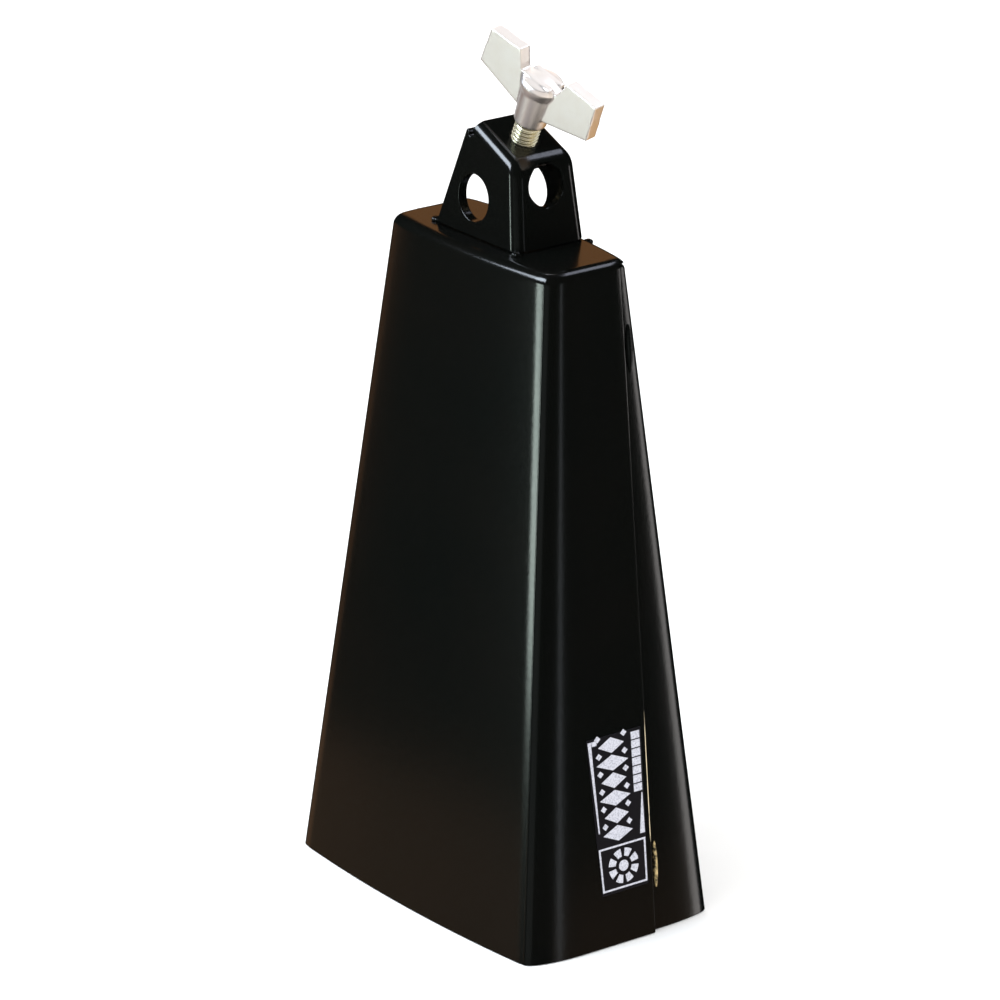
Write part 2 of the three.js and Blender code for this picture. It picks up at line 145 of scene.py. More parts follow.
def per_metre(size_mm: float) -> float:
    """The texture scale whose cells are that many millimetres across."""
    return 1 / (size_mm * MM)


@dataclass(frozen=True)
class Grain:
    """One scale of noise on a surface, and how high it stands."""

    size_mm: float
    detail: float = 2.0
    fine_share: float = 0.5
    height_mm: float = 0.0

    def add(self, tree: bpy.types.NodeTree, place: bpy.types.NodeSocket) -> bpy.types.NodeSocket:
        """Adds the noise.

        Args:
            tree: The material's node tree.
            place: Where a point is on its piece, in metres.

        Returns:
            The noise's value.
        """
        inputs = {
            "Vector": place,
            "Scale": per_metre(self.size_mm),
            "Detail": self.detail,
            "Roughness": self.fine_share,
        }
        return add_node(tree, "ShaderNodeTexNoise", inputs).outputs["Fac"]


@dataclass(frozen=True)
class Finish:
    """A surface finish: two tones that drift, a gloss, and a relief of one or more scales."""

    name: str
    tones: tuple[str, str]
    drift: Grain
    contrast: tuple[float, float] | None = None    # the noise values that give each full tone
    relief: tuple[Grain, ...] = ()
    roughness: float = 0.4
    gloss_swing: tuple[float, float] | None = None # how far the roughness drifts each way
    gloss_span: tuple[float, float] = (0.3, 0.7)   # the noise values between which it drifts
    gloss_by_relief: bool = False                  # by the finest relief, or else by the tones' drift
    metallic: float = 0.0
    ior: float | None = None

    def dress(
        self, tree: bpy.types.NodeTree, shader: bpy.types.Node, place: bpy.types.NodeSocket
    ) -> None:
        """Fills in the shader.

        Args:
            tree: The material's node tree.
            shader: Its Principled shader.
            place: Where a point is on its piece, in metres.
        """
        drift = self.drift.add(tree, place)
        share = drift
        if self.contrast is not None:
            span = dict(zip(("From Min", "From Max"), self.contrast))
            share = add_node(tree, "ShaderNodeMapRange", {"Value": drift, **span}).outputs["Result"]
        first, second = (linear(tone) for tone in self.tones)
        mixed = {"Factor": share, "A": first, "B": second}
        colour = add_node(tree, "ShaderNodeMix", mixed, data_type="RGBA").outputs["Result"]
        tree.links.new(colour, shader.inputs["Base Color"])
        height = drift
        normal = None
        for grain in self.relief:
            height = grain.add(tree, place)
            inputs = {"Height": height, "Distance": grain.height_mm * MM, "Strength": 1.0}
            if normal is not None:
                inputs["Normal"] = normal
            normal = add_node(tree, "ShaderNodeBump", inputs).outputs["Normal"]
        if normal is not None:
            tree.links.new(normal, shader.inputs["Normal"])
        if self.gloss_swing is None:
            shader.inputs["Roughness"].default_value = self.roughness
        else:
            inputs = {
                "Value": height if self.gloss_by_relief else drift,
                "From Min": self.gloss_span[0],
                "From Max": self.gloss_span[1],
                "To Min": self.roughness + self.gloss_swing[0],
                "To Max": self.roughness + self.gloss_swing[1],
            }
            gloss = add_node(tree, "ShaderNodeMapRange", inputs).outputs["Result"]
            tree.links.new(gloss, shader.inputs["Roughness"])
        shader.inputs["Metallic"].default_value = self.metallic
        if self.ior is not None:
            shader.inputs["IOR"].default_value = self.ior

    def material(self) -> bpy.types.Material:
        """The finish's material, made when it is first asked for.

        Returns:
            The material.
        """
        found = bpy.data.materials.get(self.name)
        if found is not None:
            return found
        made = bpy.data.materials.new(self.name)
        made.use_nodes = True
        tree = made.node_tree
        tree.nodes.clear()
        shader = add_node(tree, "ShaderNodeBsdfPrincipled")
        add_node(tree, "ShaderNodeOutputMaterial", {"Surface": shader.outputs["BSDF"]})
        place = add_node(tree, "ShaderNodeTexCoord").outputs["Object"]
        self.dress(tree, shader, place)
        return made


# ---------------------------------------------------------------- finishes


@dataclass(frozen=True)
class PowderCoatedSteel(Finish):
    """Black epoxy polyester powder coat, baked on pressed and welded sheet steel.

    The powder melts into a glossy film with a fine orange peel, so that lights show in it as soft
    lines. Where the film is thin it is a little browner. Its IOR is near 1.5.
    """

    name: str = "powder_coated_steel_black"
    tones: tuple[str, str] = ("#050807", "#0b0a08")
    drift: Grain = Grain(38, 3.0)
    relief: tuple[Grain, ...] = (
        Grain(1.7, 1.5, 0.4, height_mm=0.016),     # the orange peel, from crest to crest
        Grain(0.45, 2.0, height_mm=0.0035),        # the powder grains that melted last
    )
    roughness: float = 0.16
    gloss_swing: tuple[float, float] | None = (-0.035, 0.045)
    gloss_by_relief: bool = True
    ior: float | None = 1.5            # cured epoxy polyester


@dataclass(frozen=True)
class SeamGlintCoat(PowderCoatedSteel):
    """The same coat, with a painted highlight: a thin beige line painted along the cut edge of the
    right seam.

    It stands in for the glint that the rounded edge catches, and fades out upwards.
    """

    name: str = "powder_coated_steel_painted_seam_glint"
    # Painted highlight: the beige of the glint line on the seam's rounded edge.
    glint_tone: str = "#dccba8"
    glint_noise: Grain = Grain(5.0, 4.0, 0.7)
    edge_y: float = SEAM_Y
    edge_width: float = 0.5 * MM
    edge_full: float = 0.6             # full from this share of the width out to the edge
    low: float = 27 * MM
    high: float = 74 * MM
    fade_low: float = 4 * MM
    fade_high: float = 16 * MM
    right_x: float = 10 * MM           # full from here out, so that the left seam gets no painted glint
    glint_span: tuple[float, float] = (0.12, 0.4)

    def dress(
        self, tree: bpy.types.NodeTree, shader: bpy.types.Node, place: bpy.types.NodeSocket
    ) -> None:
        """Adds the coat, and the painted highlight line along the seam edge.

        Args:
            tree: The material's node tree.
            shader: Its Principled shader.
            place: Where a point is on its piece, in metres.
        """
        super().dress(tree, shader, place)
        coat = shader.inputs["Base Color"].links[0].from_socket
        parts = add_node(tree, "ShaderNodeSeparateXYZ", {"Vector": place})
        share = self.glint_noise.add(tree, place)
        for axis, start, end in (
            ("Y", self.edge_y - self.edge_width, self.edge_y - self.edge_width * self.edge_full),
            ("Z", self.low, self.low + self.fade_low),
            ("Z", self.high, self.high - self.fade_high),
            ("X", 0.0, self.right_x),
        ):
            inputs = {"Value": parts.outputs[axis], "From Min": start, "From Max": end}
            limit = add_node(tree, "ShaderNodeMapRange", inputs).outputs["Result"]
            product = add_node(tree, "ShaderNodeMath", {0: share, 1: limit}, operation="MULTIPLY")
            share = product.outputs["Value"]
        inputs = {"Value": share, "From Min": self.glint_span[0], "From Max": self.glint_span[1]}
        strength = add_node(tree, "ShaderNodeMapRange", inputs).outputs["Result"]
        # Mixes in the painted highlight tone along the seam edge.
        mixed = {"Factor": strength, "A": coat, "B": linear(self.glint_tone)}
        tone = add_node(tree, "ShaderNodeMix", mixed, data_type="RGBA")
        tree.links.new(tone.outputs["Result"], shader.inputs["Base Color"])


@dataclass(frozen=True)
class BrazedBeadPaintedGlint(Finish):
    """Bronze filler laid by torch, with a thin smoky coat over it.

    Its tone follows the same noise as its ripples, so the crests are painted pale gold, a painted
    highlight, and the hollows between the ripples are painted brown-black, a painted shade.
    """

    name: str = "torch_brazed_bronze_bead_painted_glint"
    # The tone follows the same noise as the relief: painted highlight on the crests, painted shade in
    # the hollows.
    tones: tuple[str, str] = ("#171008", "#dcc28a")
    drift: Grain = Grain(1.4, 4.0, 0.6)
    contrast: tuple[float, float] | None = (0.42, 0.62)
    relief: tuple[Grain, ...] = (Grain(1.4, 4.0, 0.6, height_mm=0.05),)
    roughness: float = 0.34
    metallic: float = 0.3


@dataclass(frozen=True)
class NickelPlatedCasting(Finish):
    """Die-cast zinc, tumbled and nickel plated.

    Tumbling leaves a satin skin, so that the wings take the tone of what is round them without
    sharp reflections, a little warm as nickel is.
    """

    name: str = "nickel_plated_zinc_casting"
    tones: tuple[str, str] = ("#f1edec", "#e4dcd6")
    drift: Grain = Grain(6.0, 4.0)
    relief: tuple[Grain, ...] = (Grain(0.6, 3.0, height_mm=0.008),)
    roughness: float = 0.36
    gloss_swing: tuple[float, float] | None = (-0.05, 0.06)
    metallic: float = 1.0


@dataclass(frozen=True)
class ZincPlatedSteel(Finish):
    """Rolled steel thread with bright zinc plate and a faint yellow passivation.

    The rolled flanks are smoother than the casting, so that each crest shows a thin bright line.
    """

    name: str = "zinc_plated_rolled_steel"
    tones: tuple[str, str] = ("#dedac6", "#b9b394")
    drift: Grain = Grain(2.4, 4.0)
    relief: tuple[Grain, ...] = (Grain(0.35, 3.0, height_mm=0.003),)
    roughness: float = 0.25
    gloss_swing: tuple[float, float] | None = (-0.05, 0.06)
    metallic: float = 1.0


@dataclass(frozen=True)
class VinylFilm(Finish):
    """Calendered black vinyl label film. Its satin face is a little duller than the coat."""

    name: str = "vinyl_film_black"
    tones: tuple[str, str] = ("#0c0b10", "#121118")
    drift: Grain = Grain(0.5, 2.0)
    relief: tuple[Grain, ...] = (Grain(0.5, 2.0, height_mm=0.003),)   # the rollers' texture
    roughness: float = 0.3
    ior: float | None = 1.53           # plasticised vinyl


@dataclass(frozen=True)
class ScreenInk(Finish):
    """White screen-printed ink, which the mesh of the screen leaves thin and grey in places."""

    name: str = "screen_ink_white"
    tones: tuple[str, str] = ("#c4c4cc", "#8c8c98")
    drift: Grain = Grain(0.55, 3.0, 0.7)       # coarser than a real screen, so that it shows
    contrast: tuple[float, float] | None = (0.46, 0.68)
    roughness: float = 0.42
    ior: float | None = 1.5


@dataclass(frozen=True)
class MattPaper(Finish):
    """White matt paper from a roll, for the floor. It shows no gloss, only a faint drift of tone."""

    name: str = "matt_paper_white"
    tones: tuple[str, str] = ("#fdfdfc", "#f8f8f6")
    drift: Grain = Grain(13.0, 2.0)            # far coarser than the fibres, which are too fine
    roughness: float = 0.9
    ior: float | None = 1.5


# ---------------------------------------------------------------- mesh tools


class MeshWork:
    """Collects the points and faces of one mesh."""

    def __init__(self) -> None:
        """Starts with nothing."""
        self.points: list[tuple[float, float, float]] = []
        self.faces: list[Ring] = []

    def row(self, points: Iterable[Sequence[float]]) -> Ring:
        """Adds points.

        Args:
            points: Their places, in metres.

        Returns:
            The new points' numbers.
        """
        start = len(self.points)
        self.points.extend((float(p[0]), float(p[1]), float(p[2])) for p in points)
        return list(range(start, len(self.points)))

    def band(self, low: Ring, high: Ring, closed: bool = False) -> None:
        """Joins two rows of as many points with four-sided faces.

        Args:
            low: One row.
            high: The other row.
            closed: Whether the last points join the first.
        """
        count = len(low)
        for at in range(count if closed else count - 1):
            after = (at + 1) % count
            self.faces.append([low[at], low[after], high[after], high[at]])

    def cap(self, ring: Ring) -> None:
        """Closes a flat ring with one face."""
        self.faces.append(list(ring))

    def skin(self, rings: Sequence[Iterable[Sequence[float]]]) -> None:
        """Skins rings into a closed tube with a cap at each end.

        Args:
            rings: The rings, each with as many points.
        """
        rows = [self.row(ring) for ring in rings]
        for low, high in zip(rows, rows[1:]):
            self.band(low, high, closed=True)
        self.cap(rows[0])
        self.cap(rows[-1])

    def piece(self, name: str) -> bpy.types.Object:
        """Makes the object, with every face turned outwards.

        Args:
            name: The piece's name.

        Returns:
            The new object, at the origin.
        """
        mesh = bpy.data.meshes.new(name)
        mesh.from_pydata(self.points, [], self.faces)
        tidy_normals(mesh)
        made = bpy.data.objects.new(name, mesh)
        bpy.context.scene.collection.objects.link(made)
        return made


def tidy_normals(mesh: bpy.types.Mesh, merge_mm: float = 0.0005) -> None:
    """Joins points that coincide, turns the faces outwards and shades them smooth.

    Args:
        mesh: The mesh to tidy.
        merge_mm: How close two points are to count as one.
    """
    work = bmesh.new()
    work.from_mesh(mesh)
    bmesh.ops.remove_doubles(work, verts=work.verts, dist=merge_mm * MM)
    bmesh.ops.recalc_face_normals(work, faces=work.faces)
    for face in work.faces:
        face.smooth = True
    work.to_mesh(mesh)
    work.free()
    mesh.update()


def mark_edges(made: bpy.types.Object, angle: float = 34.0) -> None:
    """Marks the edges that turn more than the angle, so that they shade sharp."""
    made.data.set_sharp_from_angle(angle=math.radians(angle))


def soften_edges(
    made: bpy.types.Object, width_mm: float, segments: int = 2, angle: float = 40.0
) -> None:
    """Rounds a piece's edges by a little and evens its shading.

    Args:
        made: The piece.
        width_mm: How wide the rounding is.
        segments: How many steps it has.
        angle: The least turn, in degrees, that counts as an edge.
    """
    bevel = made.modifiers.new("edge", "BEVEL")
    bevel.width = width_mm * MM
    bevel.segments = segments
    bevel.limit_method = "ANGLE"
    bevel.angle_limit = math.radians(angle)
    bevel.use_clamp_overlap = False
    bevel.miter_outer = "MITER_ARC"
    even_shading(made)


def even_shading(made: bpy.types.Object) -> None:
    """Lets the large faces set the shading at their edges.

    Args:
        made: The piece.
    """
    weigh = made.modifiers.new("shading", "WEIGHTED_NORMAL")
    weigh.mode = "FACE_AREA_WITH_ANGLE"
    weigh.weight = 80
    weigh.keep_sharp = True


def settle(made: bpy.types.Object) -> None:
    """Turns a piece's modifiers into its mesh.

    Args:
        made: The piece.
    """
    graph = bpy.context.evaluated_depsgraph_get()
    mesh = bpy.data.meshes.new_from_object(made.evaluated_get(graph))
    made.modifiers.clear()
    made.data = mesh


class Cut(str, Enum):
    """What a tool solid does to a piece."""

    AWAY = "DIFFERENCE"
    JOIN = "UNION"


def carve(made: bpy.types.Object, tool: bpy.types.Object, how: Cut) -> None:
    """Joins a tool solid to a piece, or cuts it away, and removes the tool.

    Args:
        made: The piece.
        tool: The solid that works on it.
        how: Whether it joins or cuts.
    """
    change = made.modifiers.new("carve", "BOOLEAN")
    change.operation = how.value
    change.solver = "EXACT"
    change.object = tool
    bpy.context.view_layer.update()
    settle(made)
    bpy.data.objects.remove(tool)


def turn_about_z(profile: Sequence[tuple[float, float]], steps: int) -> list[Points]:
    """Rings of a turned shape, listed upwards.

    Args:
        profile: Radius and height of each ring.
        steps: Points in each ring.

    Returns:
        One ring of points for each line of the profile.
    """
    turn = np.linspace(0, 2 * math.pi, steps, endpoint=False)
    return [
        np.stack([r * np.cos(turn), r * np.sin(turn), np.full(steps, h)], 1) for r, h in profile
    ]


def bar(
    name: str, radius: float, low: float, high: float, place: Matrix, steps: int = 96
) -> bpy.types.Object:
    """A round bar along its own Z, used as a tool.

    Args:
        name: Its name.
        radius: Its radius.
        low: Where it starts.
        high: Where it ends.
        place: Its frame.
        steps: Points round it.

    Returns:
        The bar.
    """
    work = MeshWork()
    work.skin(turn_about_z([(radius, low), (radius, high)], steps))
    made = work.piece(name)
    made.data.transform(place)
    return made


def box_tool(
    name: str, low: Sequence[float], high: Sequence[float], place: Matrix
) -> bpy.types.Object:
    """A box from its two corners in a frame, used as a tool.

    Args:
        name: Its name.
        low: Its lowest corner.
        high: Its highest corner.
        place: The frame.

    Returns:
        The box.
    """
    work = MeshWork()
    ring = [(low[0], low[1]), (high[0], low[1]), (high[0], high[1]), (low[0], high[1])]
    work.skin([[(x, y, z) for x, y in ring] for z in (low[2], high[2])])
    made = work.piece(name)
    made.data.transform(place)
    return made


def hand_over(
    made: bpy.types.Object, body: Body, slot: Slot, finish: Finish, *nodes: str
) -> bpy.types.Object:
    """Gives a piece its finish and body, and hides the CAD nodes it stands for.

    Args:
        made: The piece.
        body: The CAD body it rides on.
        slot: The record's slot that it takes its finish from; not used.
        finish: Its finish.
        *nodes: The CAD nodes that it replaces.

    Returns:
        The piece.
    """
    if not made.data.materials:
        made.data.materials.append(finish.material())
    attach(made, body.value)
    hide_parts(*nodes)
    LOG.info("%s rides on %s, %d faces", made.name, body.value, len(made.data.polygons))
    return made


def spaced_by_turn(line: Points, count: int) -> Points:
    """Spreads points along a flat line, closer together where it turns.

    Args:
        line: The line, as many close points.
        count: How many points are wanted.

    Returns:
        The new points, with the same two ends.
    """
    step = np.diff(line, axis=0)
    length = np.linalg.norm(step, axis=1)
    heading = np.unwrap(np.arctan2(step[:, 1], step[:, 0]))
    turn = np.abs(np.diff(heading, prepend=heading[0]))
    share = length / length.sum() + turn / max(turn.sum(), 1e-9)
    at = np.concatenate([[0.0], np.cumsum(share)])
    wanted = np.linspace(0, at[-1], count)
    return np.stack([np.interp(wanted, at, line[:, axis]) for axis in (0, 1)], 1)


# ---------------------------------------------------------------- bell


@dataclass
class Bell:
    """The pressed body: a front half with the whole top, and a back half tucked inside it."""

    coat: Finish
    seam_coat: Finish
    top_width: float = 76.6 * MM
    top_depth: float = 35.6 * MM
    sheet: float = 1.5 * MM
    crown: float = 3.4 * MM            # bulge of the struck face at its middle
    roll_width: float = 3.6 * MM       # where the face starts to roll into its corner
    roll_drop: float = 0.26 * MM
    mouth_corner: tuple[float, float] = (5.0 * MM, 20.0 * MM)
    top_corner: tuple[float, float] = (2.8 * MM, 7.2 * MM)
    bend: float = 3.0 * MM             # outer radius where the walls meet the top
    seam_y: float = SEAM_Y
    underlap: float = 12.0 * MM
    gap: float = 0.3 * MM
    least_radius: float = 0.4 * MM
    wall_rows: int = 40
    bend_rows: int = 4
    front_points: int = 84
    rear_points: int = 60
    line_points: int = 80
    height: float = field(init=False)
    mouth_width: float = field(init=False)
    mouth_depth: float = field(init=False)

    def __post_init__(self) -> None:
        """Takes the overall sizes from the frame."""
        low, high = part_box("front_shell")
        _, back_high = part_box("back_shell")
        self.height = high.z
        self.mouth_width = high.x - low.x
        self.mouth_depth = back_high.y - low.y

    def lean(self) -> float:
        """How far the side walls lean in, in radians."""
        return math.atan((self.mouth_width - self.top_width) / 2 / self.height)

    def half_outline(self, z: float, inset_x: float, inset_y: float) -> Points:
        """The right half of the outline at one height, from the front's middle to the back's.

        Args:
            z: The height.
            inset_x: How far it is pulled in across the width.
            inset_y: How far it is pulled in along the depth.

        Returns:
            Many close points, each X and Y.
        """
        share = z / self.height
        half_width = (self.mouth_width + (self.top_width - self.mouth_width) * share) / 2 - inset_x
        half_depth = (self.mouth_depth + (self.top_depth - self.mouth_depth) * share) / 2 - inset_y
        corner = [m + (t - m) * share for m, t in zip(self.mouth_corner, self.top_corner)]
        corner_x = max(corner[0] - inset_x, self.least_radius)
        corner_y = max(corner[1] - inset_y, self.least_radius)
        face_end = half_width - corner_x
        across = np.linspace(0, face_end, self.line_points)
        face = half_depth - self.crown * (across / half_width) ** 2
        roll = np.clip((across - face_end + self.roll_width) / self.roll_width, 0, 1)
        face = face - self.roll_drop * roll**2
        angle = np.linspace(0, math.pi / 2, self.line_points)[1:]
        x = np.concatenate([across, face_end + corner_x * np.sin(angle)])
        y = np.concatenate([face, face[-1] - corner_y * (1 - np.cos(angle))])
        side = np.linspace(-y[-1], y[-1], self.line_points)[1:-1]
        return np.concatenate(
            [
                np.stack([x, -y], 1),
                np.stack([np.full(len(side), half_width), side], 1),
                np.stack([x[::-1], y[::-1]], 1),
            ]
        )

    def runs(self, z: float, inset_x: float, inset_y: float, split_y: float) -> tuple[Points, Points]:
        """The outline in two open runs, cut at one depth.

        Args:
            z: The height.
            inset_x: How far it is pulled in across the width.
            inset_y: How far it is pulled in along the depth.
            split_y: Where both side walls are cut.

        Returns:
            The front run from left to right, and the rear run from right to left, each X, Y and Z.
        """
        line = self.half_outline(z, inset_x, inset_y)
        cut_x = float(np.interp(split_y, line[:, 1], line[:, 0]))
        cut = np.array([[cut_x, split_y]])
        before = np.concatenate([line[line[:, 1] < split_y - 1e-7], cut])
        after = np.concatenate([cut, line[line[:, 1] > split_y + 1e-7]])
        mirror = np.array([-1.0, 1.0])
        front = spaced_by_turn(before, self.front_points)
        rear = spaced_by_turn(after, self.rear_points)
        front = np.concatenate([(front * mirror)[::-1][:-1], front])
        rear = np.concatenate([rear, (rear * mirror)[::-1][1:]])
        return tuple(
            np.concatenate([run, np.full((len(run), 1), z)], 1) for run in (front, rear)
        )

    def bend_steps(
        self, radius: float, start: float, end: float, steps: int
    ) -> list[tuple[float, float]]:
        """How far in and how far below the top a rounded edge is, at each step of its turn.

        Args:
            radius: Its radius.
            start: The first angle, in degrees.
            end: The last angle, in degrees.
            steps: How many steps there are after the first.

        Returns:
            Pairs of inset and drop.
        """
        angles = np.radians(np.linspace(start, end, steps + 1))
        return [(radius * (1 - math.cos(a)), radius * (1 - math.sin(a))) for a in angles]

    def front_half(self) -> bpy.types.Object:
        """Builds the struck face, its side flanges and the top.

        Returns:
            The piece.
        """
        inner_top = self.height - self.sheet
        wall = np.linspace(0, self.height - self.bend, self.wall_rows)
        cut_angle = math.degrees(math.asin(1 - self.sheet / self.bend))
        inner_bend = self.bend - self.sheet
        lower = [(z, 0.0) for z in wall]
        lower += [
            (self.height - drop, inset)
            for inset, drop in self.bend_steps(self.bend, 0, cut_angle, self.bend_rows)[1:]
        ]
        upper = [
            (self.height - drop, inset)
            for inset, drop in self.bend_steps(self.bend, cut_angle, 90, 2 * self.bend_rows)[1:]
        ]
        inner = [(z, self.sheet) for z in wall]
        inner += [
            (inner_top - drop, self.sheet + inset)
            for inset, drop in self.bend_steps(inner_bend, 0, 90, self.bend_rows)[1:]
        ]
        work = MeshWork()
        outer_rows = [work.row(self.runs(z, i, i, self.seam_y)[0]) for z, i in lower]
        inner_rows = [work.row(self.runs(z, i, i, self.seam_y)[0]) for z, i in inner]
        closing = [
            work.row(self.runs(z, i, i, self.seam_y)[1][1:-1]) for z, i in (lower[-1], inner[-1])
        ]
        rings = [outer_rows[-1] + closing[0]]
        for z, inset in upper:
            front, rear = self.runs(z, inset, inset, self.seam_y)
            rings.append(work.row(np.concatenate([front, rear[1:-1]])))
        inner_ring = inner_rows[-1] + closing[1]
        for rows in (outer_rows, inner_rows):
            for low, high in zip(rows, rows[1:]):
                work.band(low, high)
        for low, high in zip(rings, rings[1:]):
            work.band(low, high, closed=True)
        work.cap(rings[-1])
        work.cap(inner_ring)
        last = len(outer_rows[-1]) - 1
        work.band(
            rings[0][last:] + [rings[0][0]],
            inner_ring[last:] + [inner_ring[0]],
        )
        work.band(outer_rows[0], inner_rows[0])
        for end in (0, last):
            work.band([row[end] for row in outer_rows], [row[end] for row in inner_rows])
        return work.piece("front_half")

    def back_half(self) -> bpy.types.Object:
        """Builds the rear face, its tucked flanges and the flap under the top.

        Returns:
            The piece.
        """
        side = self.sheet + self.gap
        top = self.height - self.sheet - self.gap
        bend = self.bend - self.sheet
        split = self.seam_y - self.underlap
        work = MeshWork()
        skins = []
        for inset_x, inset_y, radius, peak in (
            (side, 0.0, bend, top),
            (side + self.sheet, self.sheet, self.least_radius, top - self.sheet),
        ):
            levels = [(z, 0.0) for z in np.linspace(0, peak - radius, self.wall_rows)]
            levels += [
                (peak - drop, inset)
                for inset, drop in self.bend_steps(radius, 0, 90, self.bend_rows)[1:]
            ]
            skins.append(
                [work.row(self.runs(z, inset_x + i, inset_y + i, split)[1]) for z, i in levels]
            )
        outer, inner = skins
        for rows in skins:
            for low, high in zip(rows, rows[1:]):
                work.band(low, high)
            work.cap(rows[-1])
        work.band(outer[0], inner[0])
        for end in (0, -1):
            work.band([row[end] for row in outer], [row[end] for row in inner])
        work.faces.append([outer[-1][0], outer[-1][-1], inner[-1][-1], inner[-1][0]])
        return work.piece("back_half")

    def build(self) -> None:
        """Makes both halves."""
        halves = (
            (self.front_half(), self.seam_coat, "front_shell"),
            (self.back_half(), self.coat, "back_shell"),
        )
        for made, finish, node in halves:
            soften_edges(made, 0.28, segments=2)
            hand_over(made, Body.BELL, Slot.COAT, finish, node)


# ---------------------------------------------------------------- welds


@dataclass
class Welds:
    """Stitch welds in the seam step and tack welds round the bracket's foot."""

    coat: Finish
    filler_glint: Finish
    lean: float
    bare_glint_width: float = 0.65           # the bronze stitch's width, as a share of the others'; its crests carry a painted highlight
    tack_sink: float = 0.9 * MM        # how deep a tack melts into the top
    bend_sink: float = 0.6 * MM        # how much lower it lies where the top bends down
    rings: int = 64
    sides: int = 28
    ripple_share: float = 0.07         # a ripple's depth, as a share of the bead's width
    ripple_bow: float = 0.05           # how far a ripple bows, as a share of its length
    end_angle: float = 0.03            # where the rounded ends close, in radians
    end_share: float = 0.985           # keeps the bowed ends inside the bead's length
    stitch_ripple: float = 1.15 * MM   # from one ripple of the bead to the next
    tack_ripple: float = 0.8 * MM

    def bead(
        self, name: str, node: str, along: int, ripple: float, tilt: float, slim: float = 1.0
    ) -> bpy.types.Object:
        """A rippled bead in the place of a CAD weld.

        Args:
            name: The piece's name.
            node: The CAD weld.
            along: The axis that it was laid along, 0 for X and 2 for Z.
            ripple: The length of one ripple.
            tilt: How far it leans about Y, in radians.
            slim: Its width as a share of the CAD weld's.

        Returns:
            The piece.
        """
        low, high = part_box(node)
        middle, half = (low + high) / 2, (high - low) / 2
        reach = half[along]
        across = [axis for axis in range(3) if axis != along]
        work = MeshWork()
        turn = np.linspace(0, 2 * math.pi, self.sides, endpoint=False)
        rings = []
        for angle in np.linspace(self.end_angle, math.pi - self.end_angle, self.rings):
            at = -math.cos(angle) * reach
            wave = slim - slim * self.ripple_share * (0.5 + 0.5 * math.cos(2 * math.pi * at / ripple))
            ring = np.zeros((self.sides, 3))
            ring[:, along] = at * self.end_share + self.ripple_bow * ripple * np.cos(turn)
            ring[:, across[0]] = half[across[0]] * math.sin(angle) * wave * np.cos(turn)
            ring[:, across[1]] = half[across[1]] * math.sin(angle) * wave * np.sin(turn)
            rings.append(ring)
        work.skin(rings)
        made = work.piece(name)
        made.data.transform(Matrix.Translation(middle) @ Matrix.Rotation(tilt, 4, "Y"))
        return made

    def build(self) -> None:
        """Makes all the welds."""
        for side, lean in (("right", -self.lean), ("left", self.lean)):
            for level in ("lower", "upper"):
                node = f"seam_weld_{side}_{level}"
                # The lower right stitch is bronze, with a painted highlight on its crests and painted
                # shade in its hollows.
                bare_glint = (side, level) == ("right", "lower")
                finish = self.filler_glint if bare_glint else self.coat
                slim = self.bare_glint_width if bare_glint else 1.0
                made = self.bead(f"stitch_{side}_{level}", node, 2, self.stitch_ripple, lean, slim)
                hand_over(made, Body.BELL, Slot.COAT, finish, node)
        for side in ("front", "rear"):
            for end in ("toe", "heel"):
                node = f"bracket_weld_{side}_{end}"
                made = self.bead(f"tack_{side}_{end}", node, 0, self.tack_ripple, 0.0)
                over_bend = (side, end) == ("rear", "heel")
                sink = self.tack_sink + (self.bend_sink if over_bend else 0.0)
                made.data.transform(Matrix.Translation((0, 0, -sink)))
                hand_over(made, Body.BELL, Slot.COAT, self.coat, node)


# ---------------------------------------------------------------- bracket


